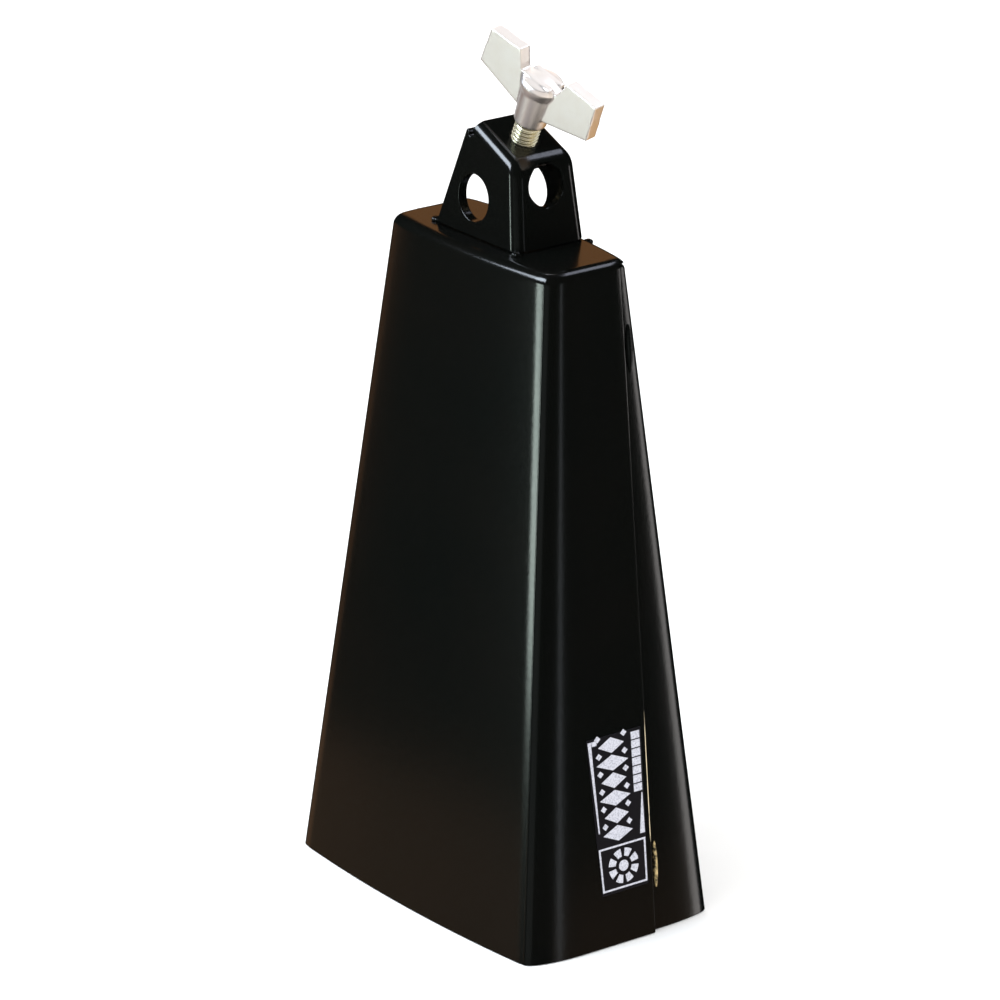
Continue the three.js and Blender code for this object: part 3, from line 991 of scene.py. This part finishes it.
@dataclass
class RodBracket:
    """The bent sheet bracket: two flanks, a heel flap and a tilted plate, open at its toe."""

    coat: Finish
    screw: Matrix                      # the plate's frame: Z along the screw
    base_z: float
    sheet: float = 3.0 * MM
    half_depth: float = 12.9 * MM
    toe_x: float = -21.8 * MM
    heel_x: float = 16.8 * MM
    flank_lean: float = math.radians(3.8)
    toe_lean: float = math.radians(20.7)
    bend: float = 3.6 * MM
    tilt: float = math.radians(24.3)
    toe_reach: float = 10.3 * MM
    heel_reach: float = 10.6 * MM
    cross_radius: float = 7.0 * MM
    cross_depth: float = 19.9 * MM
    heel_hole_radius: float = 6.35 * MM
    heel_hole_drop: float = 7.54 * MM
    relief_radius: float = 1.1 * MM
    bore_radius: float = 4.3 * MM
    collar_wall: float = 0.95 * MM
    collar_depth: float = 6.0 * MM
    gap: float = 0.3 * MM
    least_radius: float = 0.4 * MM
    overcut: float = 2.0 * MM
    corner_steps: int = 10
    bend_rows: int = 9

    def __post_init__(self) -> None:
        """Works out the plate's directions and corners."""
        self.centre = np.array(self.screw.translation)
        self.normal = np.array([math.sin(self.tilt), 0, math.cos(self.tilt)])
        self.along = np.array([math.cos(self.tilt), 0, -math.sin(self.tilt)])
        self.heel_corner = self.centre + self.along * self.heel_reach

    def half_at(self, z: float) -> float:
        """Half the bracket's depth at one height."""
        return self.half_depth - math.tan(self.flank_lean) * (z - self.base_z)

    def edges(self, foot_z: float) -> list[tuple[int, int, Points, Points]]:
        """The four upright edges, run on past the open toe.

        Args:
            foot_z: The height that they start from.

        Returns:
            Which way is in along X and along Y, and the foot and head of each edge.
        """
        slope = (self.heel_corner[0] - self.heel_x) / (self.heel_corner[2] - self.base_z)
        foot_x = (self.toe_x - self.toe_reach, self.heel_x + slope * (foot_z - self.base_z))
        heads = (self.centre - self.along * 2 * self.toe_reach, self.heel_corner)
        found = []
        for end, side in ((0, -1), (1, -1), (1, 1), (0, 1)):
            foot = np.array([foot_x[end], self.centre[1] + side * self.half_at(foot_z), foot_z])
            head = heads[end].copy()
            head[1] = self.centre[1] + side * self.half_at(head[2])
            found.append((1 if end == 0 else -1, -side, foot, head))
        return found

    def rounded_quad(self, corners: Sequence[Points], radius: float) -> Points:
        """Four corner points with each corner rounded.

        Args:
            corners: The corners, in order.
            radius: How far from the corner the rounding starts.

        Returns:
            The ring of points.
        """
        ring = []
        for at, corner in enumerate(corners):
            before = corners[at - 1] - corner
            after = corners[(at + 1) % 4] - corner
            before /= np.linalg.norm(before)
            after /= np.linalg.norm(after)
            for angle in np.linspace(0, math.pi / 2, self.corner_steps + 1):
                ring.append(
                    corner
                    + before * radius * (1 - math.sin(angle))
                    + after * radius * (1 - math.cos(angle))
                )
        return np.array(ring)

    def block(self, name: str, foot_z: float, wall: float) -> bpy.types.Object:
        """The bracket's block, pulled in all round by one wall thickness or none.

        Args:
            name: The solid's name.
            foot_z: The height that it starts from.
            wall: How far it is pulled in.

        Returns:
            The solid.
        """
        edges = self.edges(foot_z)
        radius = max(self.bend - wall, self.least_radius)
        feet = [foot + np.array([x * wall, y * wall, 0]) for x, y, foot, _ in edges]
        rings = [self.rounded_quad(feet, radius)]
        for angle in np.linspace(0, math.pi / 2, self.bend_rows + 1):
            inset = radius * (1 - math.cos(angle))
            level = self.normal @ self.centre - wall - radius * (1 - math.sin(angle))
            corners = []
            for x, y, foot, head in edges:
                share = (level - self.normal @ foot) / (self.normal @ (head - foot))
                point = foot + (head - foot) * share
                point = point + self.along * x * (wall + inset) + np.array([0, y * (wall + inset), 0])
                corners.append(point)
            rings.append(self.rounded_quad(corners, max(radius - inset, self.least_radius)))
        work = MeshWork()
        work.skin(rings)
        return work.piece(name)

    def tools(self) -> list[tuple[bpy.types.Object, Cut]]:
        """The solids that shape the block, in order.

        Returns:
            Each tool and what it does.
        """
        y = self.centre[1]
        width = 4 * self.half_depth
        length = self.heel_x - self.toe_x
        notch = self.bend + self.relief_radius / 2
        toe = Matrix.Translation((self.toe_x, y, self.base_z)) @ Matrix.Rotation(self.toe_lean, 4, "Y")
        lying = Matrix.Rotation(math.pi / 2, 4, "X")
        cross = Vector(self.centre - self.normal * self.cross_depth)
        heel = Vector((self.heel_x, y, self.heel_corner[2] - self.heel_hole_drop))
        facing = Matrix.Rotation(math.pi / 2, 4, "Y")
        notch_place = self.screw @ Matrix.Translation((-self.toe_reach, 0, -notch)) @ lying
        cross_place = Matrix.Translation(cross) @ lying
        heel_place = Matrix.Translation(heel) @ facing
        plate_low = (-length - self.toe_reach, -width, -notch)
        plate_high = (-self.toe_reach, width, notch)
        collar_radius = self.bore_radius + self.collar_wall
        bore_foot = -self.collar_depth - self.overcut
        reach = 2 * self.sheet
        collar = bar("collar", collar_radius, -self.collar_depth, -self.sheet / 2, self.screw)
        return [
            (self.block("inner_block", self.base_z - self.overcut, self.sheet), Cut.AWAY),
            (box_tool("toe_box", (-length, -width, -width), (0, width, width), toe), Cut.AWAY),
            (box_tool("plate_box", plate_low, plate_high, self.screw), Cut.AWAY),
            (bar("notch", self.relief_radius, -width, width, notch_place, 32), Cut.AWAY),
            (collar, Cut.JOIN),
            (bar("cross_rod", self.cross_radius, -width, width, cross_place), Cut.AWAY),
            (bar("heel_rod", self.heel_hole_radius, -reach, reach, heel_place), Cut.AWAY),
            (bar("bore", self.bore_radius, bore_foot, self.overcut, self.screw), Cut.AWAY),
        ]

    def build(self) -> None:
        """Makes the bracket."""
        made = self.block("bracket_sheet", self.base_z + self.gap, 0.0)
        for tool, how in self.tools():
            carve(made, tool, how)
        tidy_normals(made.data, merge_mm=0.01)
        soften_edges(made, 0.3, segments=2)
        hand_over(made, Body.BELL, Slot.COAT, self.coat, "rod_bracket")


# ---------------------------------------------------------------- wing screw


@dataclass
class WingScrew:
    """The threaded stud and the cast head that turns it."""

    plate: Finish
    casting: Finish
    screw: Matrix                      # the plate's frame: Z along the screw
    thread_radius: float = 4.0 * MM
    pitch: float = 1.25 * MM
    thread_cut: float = 0.66 * MM
    flank_slope: float = 1.35          # steepness of the thread's flanks, over a plain ramp
    crest_flat: float = 0.15           # taken off the ramp, which leaves the crests flat
    length: float = 19.5 * MM
    chamfer: float = 1.2 * MM
    standoff: float = 6.0 * MM
    neck_radius: float = 3.3 * MM
    neck_length: float = 8.0 * MM
    clearance: float = 0.3 * MM
    hub_foot: float = 4.9 * MM
    hub_head: float = 6.6 * MM
    hub_height: float = 14.9 * MM
    hub_crown: float = 1.3 * MM
    hub_rim: float = 2.0 * MM
    hub_flare: float = 0.6 * MM
    wing_thickness: float = 4.2 * MM
    wing_span: float = 42.6 * MM
    wing_root: float = 3.4 * MM        # this and the next three are heights above the head's foot
    wing_tip_low: float = 9.1 * MM
    wing_tip_high: float = 20.2 * MM
    wing_shoulder: float = 20.6 * MM
    shoulder_reach: float = 9.2 * MM
    shoulder_foot: tuple[float, float] = (0.5 * MM, 0.2 * MM)    # past the hub's side and top
    ridge_places: tuple[float, ...] = (-2.6 * MM, 2.6 * MM)
    ridge_half: float = 0.9 * MM
    ridge_inset: float = 0.7 * MM      # from the hub's side
    ridge_height: float = 0.05 * MM
    wing_turn: float = math.radians(12.8)
    edge: float = 0.5 * MM
    thread_sides: int = 56
    rows_per_pitch: int = 14
    voxel: float = 0.26 * MM
    tumbling: int = 5                  # passes that soften the casting's edges

    def __post_init__(self) -> None:
        """Works out the screw's own frame, with X along the wings."""
        self.place = self.screw @ Matrix.Rotation(self.wing_turn, 4, "Z")

    def thread_ring(self, z: float, share: float) -> Points:
        """One turn of points whose radius follows the thread's helix.

        Args:
            z: The height above the plate.
            share: How deep the thread is here, from 0 to 1.

        Returns:
            The ring of points.
        """
        turn = np.arange(self.thread_sides) / self.thread_sides
        phase = (z / self.pitch - turn) % 1
        ramp = 1 - np.abs(2 * phase - 1)
        groove = np.clip(self.flank_slope * ramp - self.crest_flat, 0, 1)
        groove = groove * groove * (3 - 2 * groove)
        radius = self.thread_radius - self.thread_cut * share * groove
        angle = turn * 2 * math.pi
        return np.stack([radius * np.cos(angle), radius * np.sin(angle), np.full(len(turn), z)], 1)

    def stud(self) -> bpy.types.Object:
        """Builds the stud, with its thread and the neck inside the head.

        Returns:
            The piece.
        """
        tip = self.standoff - self.length
        start, end = tip + self.chamfer, self.standoff - self.clearance
        count = round((end - start) / self.pitch * self.rows_per_pitch)
        rings = turn_about_z([(self.thread_radius - self.chamfer, tip)], self.thread_sides)
        for row in range(count + 1):
            fade = min(row, count - row) / self.rows_per_pitch
            rings.append(self.thread_ring(start + (end - start) * row / count, min(fade, 1)))
        neck = [(self.neck_radius, end), (self.neck_radius, self.standoff + self.neck_length)]
        rings += turn_about_z(neck, self.thread_sides)
        work = MeshWork()
        work.skin(rings)
        made = work.piece("screw_stud")
        made.data.transform(self.place)
        mark_edges(made, 60)
        return made

    def hub(self) -> bpy.types.Object:
        """Builds the round middle of the head.

        Returns:
            The solid, in the screw's own frame.
        """
        base, top = self.standoff, self.standoff + self.hub_height
        profile = [
            (self.hub_foot - self.edge, base),
            (self.hub_foot, base + self.edge),
            (self.hub_foot + self.hub_flare, top - 2 * self.hub_rim),
            (self.hub_head - self.edge / 2, top - self.hub_rim),
            (self.hub_head, top - self.hub_rim / 2),
            (self.hub_head - self.edge, top),
        ]
        for share in np.linspace(0.9, 0.05, 10):
            profile.append((self.hub_head * share, top + self.hub_crown * (1 - share**2)))
        work = MeshWork()
        work.skin(turn_about_z(profile, 96))
        return work.piece("hub")

    def wing_outline(self) -> list[tuple[float, float]]:
        """One wing's outline, seen from the side.

        Returns:
            Each corner's distance from the axis and height above the plate.
        """
        tip = self.wing_span / 2
        side = [
            (self.hub_foot / 2, self.wing_root),
            (tip, self.wing_tip_low - self.edge),
            (tip - self.edge, self.wing_tip_high),
            (self.shoulder_reach, self.wing_shoulder),
            (self.hub_head + self.shoulder_foot[0], self.hub_height + self.shoulder_foot[1]),
            (self.hub_foot / 2, self.hub_height - self.hub_rim / 2),
        ]
        return [(reach, self.standoff + height) for reach, height in side]

    def paddle(self, name: str, side: int) -> bpy.types.Object:
        """One wing as a flat plate.

        Args:
            name: The solid's name.
            side: 1 or -1, for the two ends.

        Returns:
            The solid, in the screw's own frame.
        """
        half = self.wing_thickness / 2
        outline = self.wing_outline()
        work = MeshWork()
        work.skin([[(side * x, y, z) for x, z in outline] for y in (-half, half)])
        return work.piece(name)

    def ridge(self, at: float) -> bpy.types.Object:
        """A low casting ridge on top of the hub, along the wings.

        Args:
            at: How far it is from the middle of the hub.

        Returns:
            The solid, in the screw's own frame.
        """
        top = self.standoff + self.hub_height
        reach = math.sqrt((self.hub_head - self.ridge_inset) ** 2 - at**2)
        height = top + self.hub_crown * (1 - (at / self.hub_head) ** 2)
        return box_tool(
            f"ridge_{round(at / MM * 10)}",
            (-reach, at - self.ridge_half, top - self.hub_rim),
            (reach, at + self.ridge_half, height + self.ridge_height),
            Matrix.Identity(4),
        )

    def head(self) -> bpy.types.Object:
        """Builds the casting: hub, wings and ridges flowing into each other.

        Returns:
            The piece.
        """
        made = self.hub()
        made.name = "wing_casting"
        solids = [self.paddle("wing_a", 1), self.paddle("wing_b", -1)]
        solids += [self.ridge(at) for at in self.ridge_places]
        for solid in solids:
            carve(made, solid, Cut.JOIN)
        bore = bar(
            "head_bore",
            self.neck_radius + self.clearance,
            self.standoff - self.clearance,
            self.standoff + self.neck_length + self.clearance,
            Matrix.Identity(4),
        )
        remesh = made.modifiers.new("cast", "REMESH")
        remesh.mode = "VOXEL"
        remesh.voxel_size = self.voxel
        smooth = made.modifiers.new("tumble", "SMOOTH")
        smooth.factor = 0.5
        smooth.iterations = self.tumbling
        settle(made)
        carve(made, bore, Cut.AWAY)
        tidy_normals(made.data)
        made.data.transform(self.place)
        mark_edges(made, 60)
        return made

    def build(self) -> None:
        """Makes the stud and the head."""
        hand_over(self.stud(), Body.STUD, Slot.STUD, self.plate, "clamp_stud")
        hand_over(self.head(), Body.HEAD, Slot.HEAD, self.casting, "wing_head")


# ---------------------------------------------------------------- label


@dataclass
class Label:
    """A film label with a plain abstract print, on the right wall in front of the seam."""

    film: Finish
    ink: Finish
    half_width: float                  # the bell's at the mouth
    lean: float
    rear_y: float = 9.6 * MM
    bottom: float = 16.0 * MM
    height: float = 48.6 * MM
    width: float = 17.2 * MM
    flare: float = 3.0 * MM
    film_lift: float = 0.03 * MM
    film_thickness: float = 0.1 * MM
    ink_thickness: float = 0.03 * MM
    frame_low: float = 0.02            # the frame's edges, in shares of the label
    frame_high: float = 0.30
    frame_line: float = 0.012          # its level lines; the upright ones are wider
    frame_post: float = 0.035
    ring_middle: tuple[float, float] = (0.5, 0.16)
    ring_radii: tuple[float, float] = (2.9 * MM, 5.4 * MM)
    ring_pieces: int = 8
    ring_piece: tuple[float, float] = (8.0, 37.0)      # where each starts and ends, in degrees
    boss_radius: float = 1.7 * MM

    def spot(self, across: float, up: float, lift: float) -> Vector:
        """A point on the label, from shares of its width and height.

        Args:
            across: From 0 at the front edge to 1 at the rear edge.
            up: From 0 at the bottom to 1 at the top.
            lift: How far it stands off the wall.

        Returns:
            The point in the shared frame.
        """
        front_y = self.rear_y - self.width - self.flare * up
        y = front_y + (self.rear_y - front_y) * across
        z = self.bottom + self.height * up
        wall = Matrix.Translation((self.half_width, 0, 0)) @ Matrix.Rotation(-self.lean, 4, "Y")
        return wall @ Vector((lift, y, z))

    def plate(self, work: MeshWork, outline: Outline, low: float, high: float) -> None:
        """Adds a thin plate with an outline given in shares of the label.

        Args:
            work: The mesh that gets it.
            outline: The outline's points.
            low: Where the plate starts off the wall.
            high: Where it ends.
        """
        work.skin([[self.spot(a, u, lift) for a, u in outline] for lift in (low, high)])

    def disc(self, across: float, up: float, radius: float) -> Outline:
        """A disc's outline in shares of the label.

        Args:
            across: Its middle.
            up: Its middle.
            radius: Its radius, in metres.

        Returns:
            The outline's points.
        """
        steps = np.linspace(0, 2 * math.pi, 33)[:-1]
        return [
            (across + radius / self.width * math.cos(a), up + radius / self.height * math.sin(a))
            for a in steps
        ]

    def box(self, front: float, low: float, rear: float, high: float) -> Outline:
        """An upright four-sided shape, in shares of the label."""
        return [(front, low), (rear, low), (rear, high), (front, high)]

    def upper_print(self) -> list[Outline]:
        """The print above the frame: a rule, a chain of rhombi, a scale and a wedge.

        Returns:
            The outline of each shape.
        """
        shapes = [[(0.055, 0.40), (0.08, 0.40), (0.08, 0.985), (0.02, 0.985)]]
        shapes.append(self.box(0.09, 0.955, 0.18, 0.985))
        for at in range(6):
            middle = 0.375 + at * 0.112
            half = 0.24 if at % 2 else 0.3
            shapes.append(self.rhombus(0.44, middle, half, 0.05))
            for across in (0.20, 0.68):
                shapes.append(self.rhombus(across, middle + 0.056, 0.06, 0.022))
        for step in range(7):
            start = 0.60 + step * 0.0555
            shapes.append(self.box(0.81, start, 0.97, start + 0.0475))
        shapes.append([(0.88, 0.33), (0.98, 0.33), (0.97, 0.585), (0.95, 0.585)])
        return shapes

    def framed_ring(self) -> list[Outline]:
        """The frame at the foot of the label, and the ring and boss inside it.

        Returns:
            The outline of each shape.
        """
        low, high = self.frame_low, self.frame_high
        front, rear = low, 1 - low
        line, post = self.frame_line, self.frame_post
        shapes = [
            self.box(front, low, rear, low + line),
            self.box(front, high - line, rear, high),
            self.box(front, low + line, front + post, high - line),
            self.box(rear - post, low + line, rear, high - line),
        ]
        step = 360 / self.ring_pieces
        start, end = self.ring_piece
        for piece in range(self.ring_pieces):
            shapes.append(
                self.ray(*self.ring_middle, *self.ring_radii, piece * step + start, piece * step + end)
            )
        shapes.append(self.disc(*self.ring_middle, self.boss_radius))
        return shapes

    def rhombus(self, across: float, up: float, half_width: float, half_height: float) -> Outline:
        """A rhombus in shares of the label.

        Args:
            across: Its middle.
            up: Its middle.
            half_width: Half its width.
            half_height: Half its height.

        Returns:
            The outline's points.
        """
        return [
            (across - half_width, up),
            (across, up - half_height),
            (across + half_width, up),
            (across, up + half_height),
        ]

    def ray(
        self, across: float, up: float, inner: float, outer: float, start: float, end: float
    ) -> Outline:
        """A piece of a ring, in shares of the label.

        Args:
            across: The ring's middle.
            up: The ring's middle.
            inner: Its inner radius, in metres.
            outer: Its outer radius.
            start: Where the piece starts, in degrees.
            end: Where it ends.

        Returns:
            The outline's points.
        """
        steps = np.radians(np.linspace(start, end, 7))
        arcs = [(outer, steps), (inner, steps[::-1])]
        return [
            (across + r / self.width * math.cos(a), up + r / self.height * math.sin(a))
            for r, angles in arcs
            for a in angles
        ]

    def build(self) -> None:
        """Makes the film and its print."""
        work = MeshWork()
        top = self.film_lift + self.film_thickness
        self.plate(work, [(0, 0), (1, 0), (1, 1), (0, 1)], self.film_lift, top)
        film = work.piece("label_film")
        soften_edges(film, 0.03, segments=1)
        hand_over(film, Body.BELL, Slot.PRINT, self.film, "side_label")
        ink = MeshWork()
        for outline in self.upper_print() + self.framed_ring():
            self.plate(ink, outline, top, top + self.ink_thickness)
        made = ink.piece("label_print")
        mark_edges(made)
        hand_over(made, Body.BELL, Slot.PRINT, self.ink)


# ---------------------------------------------------------------- studio


@dataclass(frozen=True)
class Card:
    """A soft light panel that faces the bell."""

    name: str
    azimuth: float                     # 0 is in front of the struck face, 90 to its right
    elevation: float
    distance: float
    width: float
    height: float
    radiance: float
    colour: str = "#ffffff"
    only: tuple[str, ...] = ()         # the pieces that it lights, if not all of them

    def place(self, middle: Vector) -> None:
        """Hangs the panel.

        Args:
            middle: What it faces.
        """
        a, e = math.radians(self.azimuth), math.radians(self.elevation)
        away = Vector((math.sin(a) * math.cos(e), -math.cos(a) * math.cos(e), math.sin(e)))
        light = bpy.data.lights.new(self.name, "AREA")
        light.shape = "RECTANGLE"
        light.size, light.size_y = self.width, self.height
        light.energy = self.radiance * math.pi * self.width * self.height
        light.color = linear(self.colour)[:3]
        made = bpy.data.objects.new(self.name, light)
        made.location = middle + away * self.distance
        made.rotation_mode = "QUATERNION"
        made.rotation_quaternion = (-away).to_track_quat("-Z", "Y")
        made.visible_camera = False
        bpy.context.scene.collection.objects.link(made)
        if self.only:
            seen = bpy.data.collections.new(f"{self.name}_lit")
            for name in self.only:
                seen.objects.link(bpy.data.objects[name])
            made.light_linking.receiver_collection = seen
            made.light_linking.blocker_collection = seen


@dataclass(frozen=True)
class Studio:
    """A pale floor, soft lights and the camera."""

    azimuth: float = 52.615
    elevation: float = 20.269
    roll: float = 0.466
    distance: float = 1.796565
    shift_right: float = -0.001862
    target_z: float = 0.120989
    lens_ratio: float = 6.094205       # focal length over the frame's width
    sensor_mm: float = 36.0
    clip: tuple[float, float] = (0.05, 60.0)
    floor_half: float = 6.0
    floor_z: float = -0.0002           # just under the mouth, so that the two do not touch
    room_light: float = 1.3

    def cards(self) -> list[Card]:
        """The light panels.

        Returns:
            Each panel, the ones for the coat first and the ones for the bare metal after them.
        """
        metal = ("wing_casting", "screw_stud")
        return [
            Card("key_strip", -20, -6, 0.9, 0.12, 0.27, 11.0, "#e2f4ec"),
            Card("corner_fill", 40, -8, 0.9, 0.8, 0.4, 0.18, "#f0fbf8"),
            Card("right_strip", 107, -8, 0.9, 0.05, 0.5, 1.1, "#f0f8ff"),
            Card("rear_strip", 148, -10, 0.9, 0.16, 0.7, 2.6, "#f4f0ee"),
            Card("warm_wall", -128, 21, 1.3, 0.8, 0.42, 0.62, "#e8a56a"),
            Card("warm_left", -75, -14, 1.0, 0.3, 0.5, 0.24, "#e8a878"),
            Card("warm_floor", -52, -33, 0.6, 0.6, 0.2, 0.24, "#e8b890"),
            Card("warm_floor_right", 126, -33, 0.6, 0.5, 0.2, 0.16, "#e8b890"),
            Card("bend_box", -18, 42, 1.0, 0.60, 0.40, 15.0, "#e6f2ff"),
            Card("corner_box", -45, 38, 1.0, 0.16, 0.2, 9.0, "#e6f2ff"),
            Card("rear_box", 168, 54, 1.0, 0.38, 0.16, 4.0, "#e6ecff"),
            Card("metal_low", -32, -28, 0.5, 0.7, 0.7, 0.36, "#fff6f4", only=metal),
            Card("metal_front", 52, 8, 0.6, 1.0, 1.0, 0.86, "#fff9f4", only=metal),
            Card("metal_right", 115, 0, 0.6, 0.7, 1.0, 0.80, "#fbf2e0", only=metal),
            Card("metal_under", 100, -58, 0.5, 0.9, 0.9, 0.70, "#fff8ee", only=metal),
            Card("metal_top", -165, 62, 0.6, 1.1, 1.1, 1.05, "#ffffff", only=metal),
            Card("metal_left", -110, 10, 0.6, 0.6, 0.9, 0.55, "#ffffff", only=metal),
            Card("metal_gold", 182, -42, 0.5, 0.5, 0.4, 0.60, "#f0b048", only=metal),
        ]

    def floor(self) -> None:
        """Lays the floor, which the gloss does not mirror and which casts no shadow."""
        work = MeshWork()
        half = self.floor_half
        work.cap(work.row([(-half, -half, 0), (half, -half, 0), (half, half, 0), (-half, half, 0)]))
        made = work.piece("studio_floor")
        made.location.z = self.floor_z
        made.data.materials.append(MattPaper().material())
        made.visible_glossy = False
        made.visible_shadow = False
        made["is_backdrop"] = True

    def world(self) -> None:
        """Fills the room with even white light that the gloss doesn't mirror."""
        world = bpy.data.worlds.new("white_room")
        bpy.context.scene.world = world
        world.use_nodes = True
        background = world.node_tree.nodes["Background"]
        background.inputs["Color"].default_value = linear("#ffffff")
        background.inputs["Strength"].default_value = self.room_light
        world.cycles_visibility.glossy = False

    def camera(self) -> None:
        """Sets up the camera."""
        a, e, r = (math.radians(x) for x in (self.azimuth, self.elevation, self.roll))
        back = Vector((math.sin(a) * math.cos(e), -math.cos(a) * math.cos(e), math.sin(e)))
        right = Vector((math.cos(a), math.sin(a), 0))
        up = back.cross(right)
        across = right * math.cos(r) + up * math.sin(r)
        above = back.cross(across)
        target = right * self.shift_right + Vector((0, 0, self.target_z))
        data = bpy.data.cameras.new("camera")
        data.sensor_width = self.sensor_mm
        data.lens = self.lens_ratio * self.sensor_mm
        data.clip_start, data.clip_end = self.clip
        made = bpy.data.objects.new("camera", data)
        made.matrix_world = Matrix.Translation(target + back * self.distance) @ Matrix(
            (across, above, back)
        ).transposed().to_4x4()
        bpy.context.scene.collection.objects.link(made)
        bpy.context.scene.camera = made

    def build(self, middle: Vector) -> None:
        """Sets up the floor, the room and the lights, once the pieces that some of them light exist.

        Args:
            middle: The middle of the object.
        """
        self.floor()
        self.world()
        for card in self.cards():
            card.place(middle)
        bpy.context.scene.view_settings.view_transform = "Standard"


def screw_frame() -> Matrix:
    """The frame of the bracket's plate, from the joint that the wing head turns on.

    Returns:
        The frame, with Z along the screw and Y along the bell's depth.
    """
    joint = next(j for j in frame["joints"] if j["name"] == "wing_turn")
    axis = Vector(joint["axis"]).normalized()
    side = Vector((0, 1, 0))
    along = side.cross(axis)
    place = Matrix((along, side, axis)).transposed().to_4x4()
    return Matrix.Translation(Vector(joint["pos_m"])) @ place


def main() -> None:
    """Builds the cowbell's looks and the studio, in order."""
    logging.basicConfig(level=logging.INFO, format="%(name)s: %(message)s")
    cad_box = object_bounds()
    studio = Studio()
    studio.camera()
    coat = PowderCoatedSteel()
    bell = Bell(coat, SeamGlintCoat())
    bell.build()
    Welds(coat, BrazedBeadPaintedGlint(), bell.lean()).build()
    Label(VinylFilm(), ScreenInk(), bell.mouth_width / 2, bell.lean()).build()
    RodBracket(coat, screw_frame(), bell.height).build()
    WingScrew(ZincPlatedSteel(), NickelPlatedCasting(), screw_frame()).build()
    low, high = cad_box
    studio.build((low + high) / 2)


if __name__ == "__main__":
    main()
